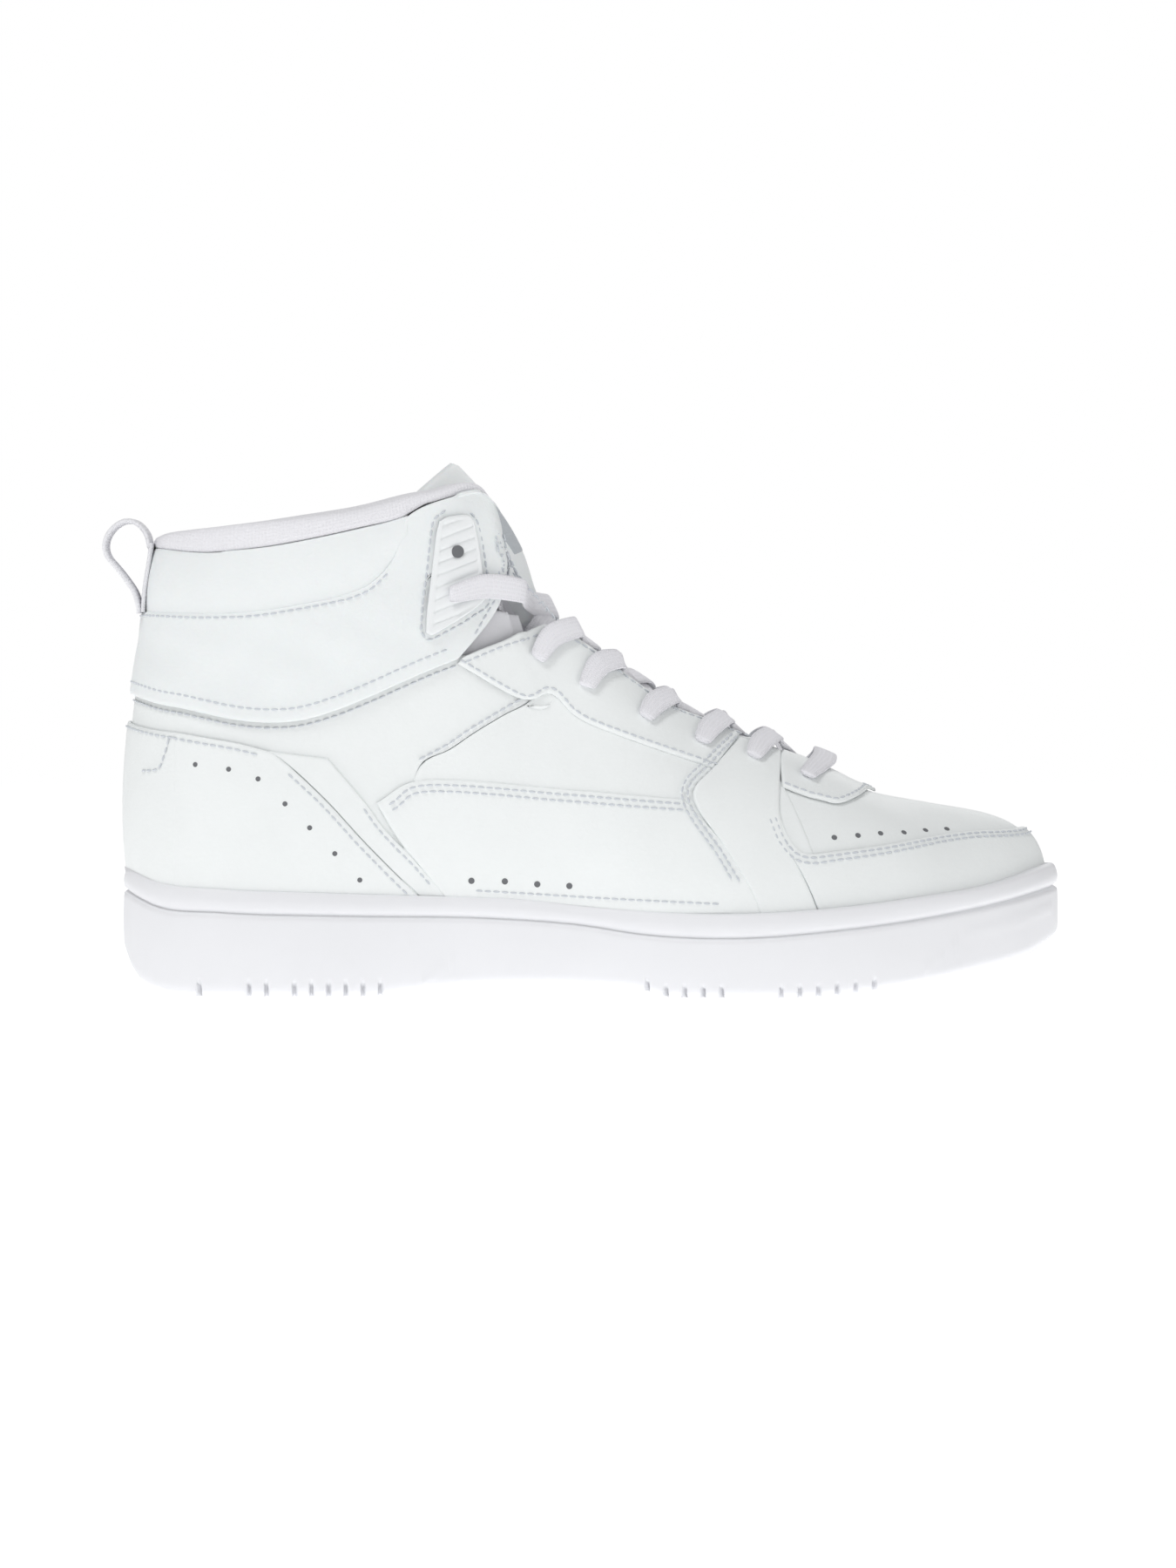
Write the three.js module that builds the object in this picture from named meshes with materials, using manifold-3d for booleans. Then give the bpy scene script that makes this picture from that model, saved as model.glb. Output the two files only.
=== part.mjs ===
// A mid-cut basketball shoe for the left foot, as separate pieces that assemble into one shoe.
// Millimetres. +X points to the toe, +Y to the outer (lateral) side, +Z up.
//
// The upper is one smooth guide surface S(t, v). t runs round the shoe: 0 at the middle of the
// heel, 0.5 at the toe, positive along the inner (medial) side and negative along the outer one.
// v climbs from the feather line (0), where the upper meets the sole, to the top line (1): the
// collar, then the throat edge, then the middle of the toe box. Every leather, foam and lining
// piece is a patch of that surface, given a thickness by two distances from it.
import * as THREE from 'three';
import { mergeVertices } from 'three/addons/utils/BufferGeometryUtils.js';
import Module from 'manifold-3d';

const wasm = await Module();
wasm.setup();

// ---------------------------------------------------------------- driving dimensions
const SHOE_LENGTH = 297; // sole, heel to toe
const BALL_WIDTH = 112; // sole, across the ball of the foot
const COLLAR_HEIGHT = 160; // ground to the front corner of the collar
const SIDEWALL_HEIGHT = 34; // ground to the top of the sole wall beside the heel
const SOLE_MARGIN = 5.6; // from the feather line out to the sole's side
const RUBBER = 5; // rubber under the cup of the sole
const LEATHER = 1.2; // every leather panel
const LAYER_GAP = 0.6; // between two outer layers that are sewn together
const INNER_GAP = 1.1; // between the leather, what stiffens or pads it, and the lining
const SEAM_GAP = 0.5; // between two panels that meet edge to edge
const BACKING = 1.4; // heel counter and toe puff
const LINING = 1.0; // textile lining
const COLLAR_PAD = 6.0; // foam in the collar, at its thickest
const PAD_EDGE = 2.2; // foam in the collar, along the front edges
const STROBEL = 1.6; // insole board
const SOCKLINER = 4.6; // removable foam insole
const PLATE = 1.4; // moulded eyelet plate
const EYELET_RADIUS = 2.4;
const LACE_WIDTH = 7.8;
const LACE_THICK = 1.3;
const LACE_IN_EYELET = 3.0; // width of the gathered lace inside an eyelet
const LACE_GAP = 0.9; // between the lace and what it lies on
const TONGUE_FACE = 1.2;
const TONGUE_FOAM = 6.5; // at the top, thinner towards the toe
const TONGUE_LINING = 1.0;
const WEBBING_WIDTH = 15;
const WEBBING = 1.7; // thickness of the pull tab's webbing

// ---------------------------------------------------------------- proportions of the last
// The stations below are drawn for these four sizes, and place() fits them to the real ones.
const DRAWN = { length: 297, width: 112, collar: 160, sidewall: 34 };
const LENGTH_SCALE = SHOE_LENGTH / DRAWN.length;
const WIDTH_SCALE = BALL_WIDTH / DRAWN.width;

function height(z) {
  if (z <= DRAWN.sidewall) return z * SIDEWALL_HEIGHT / DRAWN.sidewall;
  const share = (z - DRAWN.sidewall) / (DRAWN.collar - DRAWN.sidewall);
  return SIDEWALL_HEIGHT + share * (COLLAR_HEIGHT - SIDEWALL_HEIGHT);
}

function place(x, y, z) {
  return new THREE.Vector3(x * LENGTH_SCALE, y * WIDTH_SCALE, height(z));
}

// A height that changes along the shoe, given at a few places [x, z] and straight between them.
function profile(points) {
  return (x) => {
    const drawn = x / LENGTH_SCALE;
    let i = 1;
    while (i < points.length - 1 && points[i][0] < drawn) i += 1;
    const [x0, z0] = points[i - 1];
    const [x1, z1] = points[i];
    const share = Math.min(1, Math.max(0, (drawn - x0) / (x1 - x0)));
    return height(z0 + share * (z1 - z0));
  };
}

const groundLine = profile([[0, 14], [2, 9.4], [4.2, 5.8], [7.5, 3.1], [11.7, 1.4], [18.6, 0], [80, 0],
  [94, 1.7], [113, 3.3], [150, 3.2], [164, 2.2], [172, 0], [212, 0], [232, 1.4], [249, 3.9], [271, 8.3],
  [288, 13], [297, 18]]);
const lipLine = profile([[0, 40.4], [10, 36.4], [32, 34.1], [60, 33], [94, 31.9], [127, 30.8], [149, 28.6],
  [171, 26.9], [196, 26.6], [224, 28.3], [252, 31.6], [280, 36.1], [297, 41.5]]);
const grooveLine = profile([[0, 33], [10, 28.6], [32, 26.6], [71, 25.5], [116, 24.7], [144, 22.8], [166, 19.7],
  [196, 18.9], [224, 21.1], [252, 24.7], [280, 30], [297, 34.4]]);
const footbedLine = profile([[0, 21], [60, 20], [120, 16], [170, 11.5], [210, 11.5], [240, 14.5], [265, 18.5],
  [285, 24], [297, 28]]);

// ---------------------------------------------------------------- guide surface of the upper
// Stations from the heel to the toe. foot: x, then y of the medial and of the lateral feather
// line. low and high: how the wall leaves the feather line and how it arrives at the top line,
// as [along x, outwards, up]. top: the point of the top line, y given for either side.
const STATIONS = [
  { foot: [5.6, 0, 0], low: [-11.5, 0, 41], high: [-4, 0, -39.5], top: [10.5, 0, 144.5] },
  { foot: [11, 22.5, 23], low: [-7, 6.5, 41], high: [-3, -0.5, -39.5], top: [15.5, 19.5, 146] },
  { foot: [30, 34, 35], low: [-2, 8, 40], high: [-1, -1.5, -38], top: [31, 33.5, 147.6] },
  { foot: [58, 35.5, 37], low: [0, 8, 38], high: [0, -5, -38], top: [52, 41, 149.6] },
  { foot: [86, 33.5, 38.5], low: [0, 7, 36], high: [2, -5.5, -36], top: [75, 42.5, 152.8] },
  { foot: [110, 31.5, 41], low: [-1, 8, 36], high: [6, -4, -38], top: [97, 39, 158.4] },
  { foot: [132, 32.5, 44], low: [-2, 9, 36], high: [9, -1, -42], top: [114.5, 30, 160] },
  { foot: [153, 36, 48], low: [-1, 9, 33], high: [10, 5, -33], top: [122.3, 25.5, 132] },
  { foot: [176, 42.5, 51.5], low: [0, 8, 31], high: [9, 9, -20], top: [143, 22.5, 113.6] },
  { foot: [200, 48, 53], low: [0, 6, 30], high: [6, 13, -11], top: [172, 19, 92] },
  { foot: [226, 48, 51.5], low: [0, 5, 30], high: [3, 15, -5.5], top: [203, 15, 79.8] },
  { foot: [252, 42.5, 45], low: [1, 5, 28], high: [3, 16, -2.5], top: [224, 9, 70.3] },
  { foot: [273, 31.5, 33.5], low: [2, 4, 27], high: [8, 15, -1], top: [234.5, 0, 64.8] },
  { foot: [286.5, 18, 18], low: [3.5, 3, 27], high: [17, 9, -1.5], top: [246, 0, 62] },
  { foot: [291.4, 3, -3], low: [4, 0, 27], high: [26, 0, -2.8], top: [256, 0, 60.2] },
];
const LAST_STATION = STATIONS.length - 1;
const TURN = 2 * LAST_STATION; // stations all the way round

function stationRails({ foot, low, high, top }, side) {
  const footY = side < 0 ? foot[1] : foot[2];
  const feather = place(foot[0], side * footY, 0);
  feather.z = footbedLine(feather.x);
  const crest = place(top[0], side * top[1], top[2]);
  const step = (from, [x, out, up]) => from.clone().add(
    new THREE.Vector3(x * LENGTH_SCALE, side * out * WIDTH_SCALE, up * COLLAR_HEIGHT / DRAWN.collar));
  return [feather, step(feather, low), step(crest, high), crest];
}

const MEDIAL = -1;
const LATERAL = 1;
const stationLoop = [
  ...STATIONS.map((station) => stationRails(station, MEDIAL)),
  ...STATIONS.slice(1, LAST_STATION).reverse().map((station) => stationRails(station, LATERAL)),
];
const rails = [0, 1, 2, 3].map((row) => new THREE.CatmullRomCurve3(
  stationLoop.map((station) => station[row]), true, 'catmullrom', 0.5));

const wrap = (t) => ((t % 1) + 1) % 1;

function surface(t, v) {
  const w = 1 - v;
  const weights = [w * w * w, 3 * v * w * w, 3 * v * v * w, v * v * v];
  const point = new THREE.Vector3();
  rails.forEach((rail, row) => point.addScaledVector(rail.getPoint(wrap(t)), weights[row]));
  return point;
}

// The unit normal points out of the shoe. Where the two sides meet on the middle line of the toe
// box it stays in the middle plane, so that both sides agree there.
function normal(t, v) {
  const d = 0.002;
  const inside = Math.min(v, 0.985);
  const along = surface(t + d, inside).sub(surface(t - d, inside));
  const up = surface(t, inside + d).sub(surface(t, inside - d));
  const n = along.cross(up);
  if (v > 0.9999 && Math.abs(surface(t, 1).y) < 1e-6) n.y = 0;
  return n.normalize();
}

const shell = (t, v, out) => surface(t, v).addScaledVector(normal(t, v), out);

// The place (t, v) that is seen at x, z from the side. side is MEDIAL or LATERAL.
const SEARCH = [];
for (let i = 0; i <= 56; i += 1) {
  for (let j = 0; j <= 24; j += 1) SEARCH.push([i / 112, j / 24]);
}
const searchPoints = {
  [MEDIAL]: SEARCH.map(([u, v]) => surface(u, v)),
  [LATERAL]: SEARCH.map(([u, v]) => surface(-u, v)),
};

function locate(side, x, z) {
  const goal = place(x, 0, z);
  const sign = -side;
  let best = 0;
  let nearest = Infinity;
  searchPoints[side].forEach((p, i) => {
    const distance = Math.hypot(p.x - goal.x, p.z - goal.z);
    if (distance < nearest) {
      nearest = distance;
      best = i;
    }
  });
  let [u, v] = SEARCH[best];
  for (let pass = 0; pass < 12; pass += 1) {
    const d = 1e-4;
    const p = surface(sign * u, v);
    const pu = surface(sign * (u + d), v).sub(p).divideScalar(d);
    const pv = surface(sign * u, v + d).sub(p).divideScalar(d);
    const ex = goal.x - p.x;
    const ez = goal.z - p.z;
    const det = pu.x * pv.z - pv.x * pu.z;
    if (Math.abs(det) < 1) break;
    const limit = (step) => Math.max(-0.04, Math.min(0.04, step));
    u = Math.max(0, Math.min(0.5, u + limit((ex * pv.z - ez * pv.x) / det)));
    v = Math.max(0, Math.min(1, v + limit((ez * pu.x - ex * pu.z) / det)));
  }
  return [sign * u, v];
}

// The place on the meridian t at a given height.
function atHeight(t, z) {
  let low = 0;
  let high = 1;
  for (let pass = 0; pass < 30; pass += 1) {
    const middle = (low + high) / 2;
    if (surface(t, middle).z < height(z)) low = middle;
    else high = middle;
  }
  return [t, (low + high) / 2];
}

// ---------------------------------------------------------------- closed solids from grids
// Quads become triangles through their lowest corner number, so that two walls that lie on each
// other split alike, and such a pair cancels out.
function closedGeometry(quads) {
  const index = new Map();
  const points = [];
  const number = (p) => {
    const key = p.toArray().map((value) => Math.round(value * 1000)).join();
    if (!index.has(key)) {
      index.set(key, points.length);
      points.push(p);
    }
    return index.get(key);
  };
  const triangles = new Map();
  const addTriangle = (a, b, c) => {
    if (a === b || b === c || c === a) return;
    const turn = (x, y, z) => (x < y && x < z ? [x, y, z] : y < x && y < z ? [y, z, x] : [z, x, y]);
    const face = turn(a, b, c);
    const opposite = [face[0], face[2], face[1]].join();
    if (triangles.has(opposite)) triangles.delete(opposite);
    else triangles.set(face.join(), face);
  };
  quads.forEach((quad) => {
    const corners = quad.map(number);
    const start = corners.indexOf(Math.min(...corners));
    const [a, b, c, d] = [0, 1, 2, 3].map((k) => corners[(start + k) % 4]);
    addTriangle(a, b, c);
    addTriangle(a, c, d);
  });
  const geometry = new THREE.BufferGeometry();
  geometry.setAttribute('position', new THREE.Float32BufferAttribute(points.flatMap((p) => p.toArray()), 3));
  geometry.setIndex([...triangles.values()].flat());
  return geometry;
}

// A sheet with two faces, each a grid of points [i][j], and walls round its edge.
function slab(outer, inner) {
  const n = outer.length - 1;
  const m = outer[0].length - 1;
  const quads = [];
  for (let i = 0; i < n; i += 1) {
    for (let j = 0; j < m; j += 1) {
      quads.push([outer[i][j], outer[i + 1][j], outer[i + 1][j + 1], outer[i][j + 1]]);
      quads.push([inner[i][j], inner[i][j + 1], inner[i + 1][j + 1], inner[i + 1][j]]);
    }
    quads.push([outer[i][0], inner[i][0], inner[i + 1][0], outer[i + 1][0]]);
    quads.push([outer[i][m], outer[i + 1][m], inner[i + 1][m], inner[i][m]]);
  }
  for (let j = 0; j < m; j += 1) {
    quads.push([outer[0][j], outer[0][j + 1], inner[0][j + 1], inner[0][j]]);
    quads.push([outer[n][j], inner[n][j], inner[n][j + 1], outer[n][j + 1]]);
  }
  return closedGeometry(quads);
}

// A solid built of level loops round the shoe, lowest first, closed by a floor and a roof that
// run straight across from side to side.
function stack(loops, lanes = 2) {
  const count = loops[0].length;
  const quads = [];
  for (let k = 0; k + 1 < loops.length; k += 1) {
    for (let i = 0; i < count; i += 1) {
      const next = (i + 1) % count;
      quads.push([loops[k][i], loops[k][next], loops[k + 1][next], loops[k + 1][i]]);
    }
  }
  const cap = (loop, up) => {
    const across = (i, j) => loop[i].clone().lerp(loop[(count - i) % count], j / lanes);
    for (let i = 0; i < count / 2; i += 1) {
      for (let j = 0; j < lanes; j += 1) {
        const quad = [across(i, j), across(i + 1, j), across(i + 1, j + 1), across(i, j + 1)];
        quads.push(up ? quad : quad.reverse());
      }
    }
  };
  cap(loops[0], false);
  cap(loops[loops.length - 1], true);
  return closedGeometry(quads);
}

function toSolid(geometry) {
  const bare = new THREE.BufferGeometry();
  bare.setAttribute('position', geometry.getAttribute('position').clone());
  bare.setIndex(geometry.getIndex() ? geometry.getIndex().clone() : null);
  const merged = mergeVertices(bare, 1e-4);
  return new wasm.Manifold(new wasm.Mesh({
    numProp: 3,
    vertProperties: new Float32Array(merged.getAttribute('position').array),
    triVerts: new Uint32Array(merged.getIndex().array),
  }));
}

function toGeometry(solid) {
  const mesh = solid.getMesh();
  const geometry = new THREE.BufferGeometry();
  geometry.setAttribute('position', new THREE.BufferAttribute(mesh.vertProperties, 3));
  geometry.setIndex(new THREE.BufferAttribute(mesh.triVerts, 1));
  return geometry;
}

// ---------------------------------------------------------------- patches of the guide surface
// A line on the surface, given as places [t, v], divided evenly by its length in space.
function divide(line, count) {
  const reach = [0];
  for (let i = 1; i < line.length; i += 1) {
    reach.push(reach[i - 1] + surface(...line[i]).distanceTo(surface(...line[i - 1])));
  }
  const total = reach[reach.length - 1];
  const places = [];
  for (let k = 0; k <= count; k += 1) {
    const goal = total * k / count;
    let i = 1;
    while (i < line.length - 1 && reach[i] < goal) i += 1;
    const share = (goal - reach[i - 1]) / Math.max(1e-9, reach[i] - reach[i - 1]);
    places.push(line[i].map((value, axis) => line[i - 1][axis] + share * (value - line[i - 1][axis])));
  }
  return { places, total };
}

// A four-sided patch: the places inside follow all four edges (a Coons patch). Each edge is
// pulled in by half a seam gap. The bulge of a side edge dies out over a share 'reach' of the
// width, so on a long piece it doesn't lift the rows at the far end.
function patch({ bottom, top, left, right }, n, m, reach = 1, trim = SEAM_GAP / 2) {
  const fine = 96;
  const edges = [bottom, top, left, right].map((line) => divide(line, fine));
  const read = (edge, share) => {
    const at = Math.max(0, Math.min(fine, share * fine));
    const i = Math.min(fine - 1, Math.floor(at));
    return edge.places[i].map((value, axis) => value + (at - i) * (edge.places[i + 1][axis] - value));
  };
  const [low, high, rear, front] = edges;
  const lowEnd = bottom[bottom.length - 1];
  const highEnd = top[top.length - 1];
  const trimA = trim / Math.max(low.total, high.total);
  const trimB = trim / Math.max(rear.total, front.total);
  const grid = [];
  for (let i = 0; i <= n; i += 1) {
    const a = trimA + (1 - 2 * trimA) * i / n;
    const column = [];
    for (let j = 0; j <= m; j += 1) {
      const b = trimB + (1 - 2 * trimB) * j / m;
      const bulge = (edge, from, to, axis) => read(edge, b)[axis] - (1 - b) * from[axis] - b * to[axis];
      column.push([0, 1].map((axis) => (1 - b) * read(low, a)[axis] + b * read(high, a)[axis]
        + Math.max(0, 1 - a / reach) * bulge(rear, bottom[0], top[0], axis)
        + Math.max(0, 1 - (1 - a) / reach) * bulge(front, lowEnd, highEnd, axis)));
    }
    grid.push(column);
  }
  return grid;
}

function skin(grid, from, to) {
  const lift = (out) => grid.map((column) => column.map(
    ([t, v]) => shell(t, v, typeof out === 'function' ? out(t, v) : out)));
  return slab(lift(to), lift(from));
}

// Lines are drawn as [x, z] on the side of the shoe. onSide puts them on one side; the patch of a
// lateral piece is turned end for end, so that its faces also point out.
const onSide = (side, line) => line.map(([x, z]) => locate(side, x, z));

function sidePatch(side, lines, n, m) {
  const bottom = onSide(side, lines.bottom);
  const top = onSide(side, lines.top);
  const straight = (a, b, middle) => [a, ...onSide(side, middle ?? []), b];
  const rear = straight(bottom[0], top[0], lines.rear);
  const front = straight(bottom[bottom.length - 1], top[top.length - 1], lines.front);
  if (side === MEDIAL) return patch({ bottom, top, left: rear, right: front }, n, m);
  return patch({ bottom: bottom.reverse(), top: top.reverse(), left: front, right: rear }, n, m);
}

// A patch that wraps the heel from the lateral to the medial side. Each line starts at the heel.
function heelPatch(lines, heelLow, heelHigh, n, m) {
  const both = (line, z) => [...onSide(LATERAL, line).reverse(), atHeight(0, z), ...onSide(MEDIAL, line)];
  const bottom = both(lines.bottom, heelLow);
  const top = both(lines.top, heelHigh);
  const left = [bottom[0], ...onSide(LATERAL, lines.front ?? []), top[0]];
  const right = [bottom[bottom.length - 1], ...onSide(MEDIAL, lines.front ?? []), top[top.length - 1]];
  return patch({ bottom, top, left, right }, n, m, 0.2);
}

// A patch that wraps the toe from the medial to the lateral side, between two heights v.
function toePatch(lines, n, m) {
  const far = (line) => line.map(([t, v]) => [1 - t, v]).reverse();
  const bottom = [...lines.bottom, ...far(lines.bottom)];
  const top = [...lines.top, ...far(lines.top)];
  const left = [bottom[0], ...(lines.rear ?? []), top[0]];
  const right = [bottom[bottom.length - 1], ...(lines.rear ?? []).map(([t, v]) => [1 - t, v]),
    top[top.length - 1]];
  return patch({ bottom, top, left, right }, n, m);
}

// ---------------------------------------------------------------- seam lines, seen from the side
const COLLAR_SEAM = [[27, 120.6], [43.6, 121.3], [65.8, 125.2], [76.9, 128.5], [83.8, 134.4], [86.6, 138.5],
  [89.2, 149.5]];
const KNIT_EDGE = [[27, 139.9], [43.6, 141.3], [65.8, 145.2], [88.8, 150.6]];
const ANKLE_HEM = [[15.8, 91.3], [27, 89.1], [38, 86.9], [49, 86.2], [60, 87.4], [71, 91.1], [82.4, 95.8],
  [93.6, 101], [104.7, 105.2], [113.3, 110.5]];
const QUARTER_SEAM = [[88, 45], [95.2, 73], [112, 83], [129.6, 93.3]];
const THROAT = [[136.2, 116.6], [146.9, 110.2], [158, 101.6], [172, 91.6], [185.2, 86.2], [203, 79.2]];
const ANKLE_LAP = [[27, 93.5], [49, 90.6], [71, 95.4], [93.6, 105], [108, 110.6]];
const EYESTAY_HEM = [[106.4, 104.8], [126.9, 93.3], [135.7, 95.4], [142.4, 89.1], [149.1, 85.2], [165.7, 78.8],
  [187, 71.4]];
const HEEL_TOP = [[15.8, 83.6], [27, 81.6], [38, 79.7], [48, 77.3]];
const HEEL_FRONT = [[65.8, 61.3], [76.9, 49.1], [88, 37.8]];
const STRAP_FRONT = [[80.5, 58.4], [88, 48.3], [96.5, 39]];
const EYELETS = [[216.5, 68.2], [199.6, 74.4], [183.2, 79.3], [165.2, 87.3], [147.1, 97.6], [131.6, 106.6],
  [104.4, 126.6], [105.5, 139.9]];

const feather = (x) => {
  let low = 0;
  let high = 0.5;
  for (let pass = 0; pass < 30; pass += 1) {
    const middle = (low + high) / 2;
    if (surface(middle, 0).x < x * LENGTH_SCALE) low = middle;
    else high = middle;
  }
  return low;
};
const foot = (side, x) => [-side * feather(x), 0];

// Layers, as distances from the guide surface.
const BASE = [-LEATHER, 0];
const OVERLAY = [LAYER_GAP, LAYER_GAP + LEATHER];
const SECOND = OVERLAY[1] + LAYER_GAP;
const MIDDLE_TOP = -LEATHER - INNER_GAP;
const MIDDLE_LOW = MIDDLE_TOP - BACKING;
const LINING_TOP = MIDDLE_LOW - INNER_GAP;
const LINING_LOW = LINING_TOP - LINING;
const ramp = (value, from, to) => {
  const share = Math.min(1, Math.max(0, (value - from) / (to - from)));
  return share * share * (3 - 2 * share);
};
// Foam in the collar: full round the ankle, thin at the front edges and at the top.
const padding = (t, v) => PAD_EDGE + (COLLAR_PAD - PAD_EDGE) * (1 - ramp(Math.abs(t), 0.17, 0.225))
  * (1 - ramp(v, 0.86, 1));

// ---------------------------------------------------------------- materials and nodes
const shoe = new THREE.Group();
const finish = (color, roughness) => new THREE.MeshStandardMaterial({ color, roughness, metalness: 0 });
const LEATHER_WHITE = 0xf2f5f5;
const TEXTILE_WHITE = 0xf1f0f6;
const RUBBER_WHITE = 0xefeff3;

function add(name, geometry, color = LEATHER_WHITE, roughness = 0.5) {
  const mesh = new THREE.Mesh(geometry, finish(color, roughness));
  mesh.name = name;
  shoe.add(mesh);
}

const sideName = { [MEDIAL]: 'medial', [LATERAL]: 'lateral' };

// Eyelet holes, as short rods along the surface's normal, to cut out of every layer.
function eyeletRods(side, first, last) {
  const rods = EYELETS.slice(first, last + 1).map(([x, z]) => {
    const [t, v] = locate(side, x, z);
    const n = normal(t, v);
    const rod = new THREE.CylinderGeometry(EYELET_RADIUS, EYELET_RADIUS, 20, 8);
    rod.applyQuaternion(new THREE.Quaternion().setFromUnitVectors(new THREE.Vector3(0, 1, 0), n));
    const middle = shell(t, v, -4);
    rod.translate(middle.x, middle.y, middle.z);
    return toSolid(rod);
  });
  return rods.reduce((all, rod) => all.add(rod));
}

const punched = (geometry, rods) => toGeometry(toSolid(geometry).subtract(rods));

// ---------------------------------------------------------------- sole
function soleEdge(t, out, z) {
  const d = 0.002;
  const p = rails[0].getPoint(wrap(t));
  const along = rails[0].getPoint(wrap(t + d)).sub(rails[0].getPoint(wrap(t - d)));
  const side = new THREE.Vector3(along.y, -along.x, 0).normalize();
  p.addScaledVector(side, out);
  p.z = z(p.x);
  return p;
}

const ROUND = 2 * TURN; // corners of each loop round the sole
const loop = (out, z) => Array.from({ length: ROUND }, (_, i) => soleEdge(i / ROUND, out, z));
const raised = (line, by) => (x) => line(x) + by;

const soleOutside = stack([
  loop(SOLE_MARGIN - 4.5, groundLine),
  loop(SOLE_MARGIN - 2.6, groundLine),
  loop(SOLE_MARGIN - 0.7, raised(groundLine, 1.4)),
  loop(SOLE_MARGIN, raised(groundLine, 4)),
  loop(SOLE_MARGIN, raised(grooveLine, -1)),
  loop(SOLE_MARGIN - 1, grooveLine),
  loop(SOLE_MARGIN - 0.3, raised(grooveLine, 1)),
  loop(SOLE_MARGIN - 0.4, raised(lipLine, -1.8)),
  loop(SOLE_MARGIN - 1, raised(lipLine, -0.4)),
  loop(SOLE_MARGIN - 1.7, lipLine),
]);
const cupFloor = raised(groundLine, RUBBER);
const CUP_CLEARANCE = OVERLAY[1] + LAYER_GAP;
const soleInside = stack([
  loop(0, cupFloor),
  loop(0, raised(footbedLine, -0.3)),
  ...[0.001, 0.07, 0.14, 0.21, 0.28, 0.36].map((v) => Array.from({ length: ROUND }, (_, i) => (
    shell(i / ROUND, v, CUP_CLEARANCE)))),
]);
add('outsole_cup', toGeometry(toSolid(soleOutside).subtract(toSolid(soleInside))), RUBBER_WHITE, 0.45);
add('midsole_wedge', stack([
  loop(-0.5, raised(cupFloor, LAYER_GAP)),
  loop(-0.5, raised(footbedLine, -0.6)),
]), RUBBER_WHITE, 0.7);
const BOARD_INSET = LINING_LOW - 2.2;
add('strobel_board', stack([
  loop(BOARD_INSET, footbedLine),
  loop(BOARD_INSET, raised(footbedLine, STROBEL)),
]), TEXTILE_WHITE, 0.9);
add('sockliner', stack([
  loop(BOARD_INSET - 0.6, raised(footbedLine, STROBEL + LAYER_GAP)),
  loop(BOARD_INSET - 0.6, raised(footbedLine, STROBEL + LAYER_GAP + SOCKLINER)),
]), TEXTILE_WHITE, 0.85);

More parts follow.
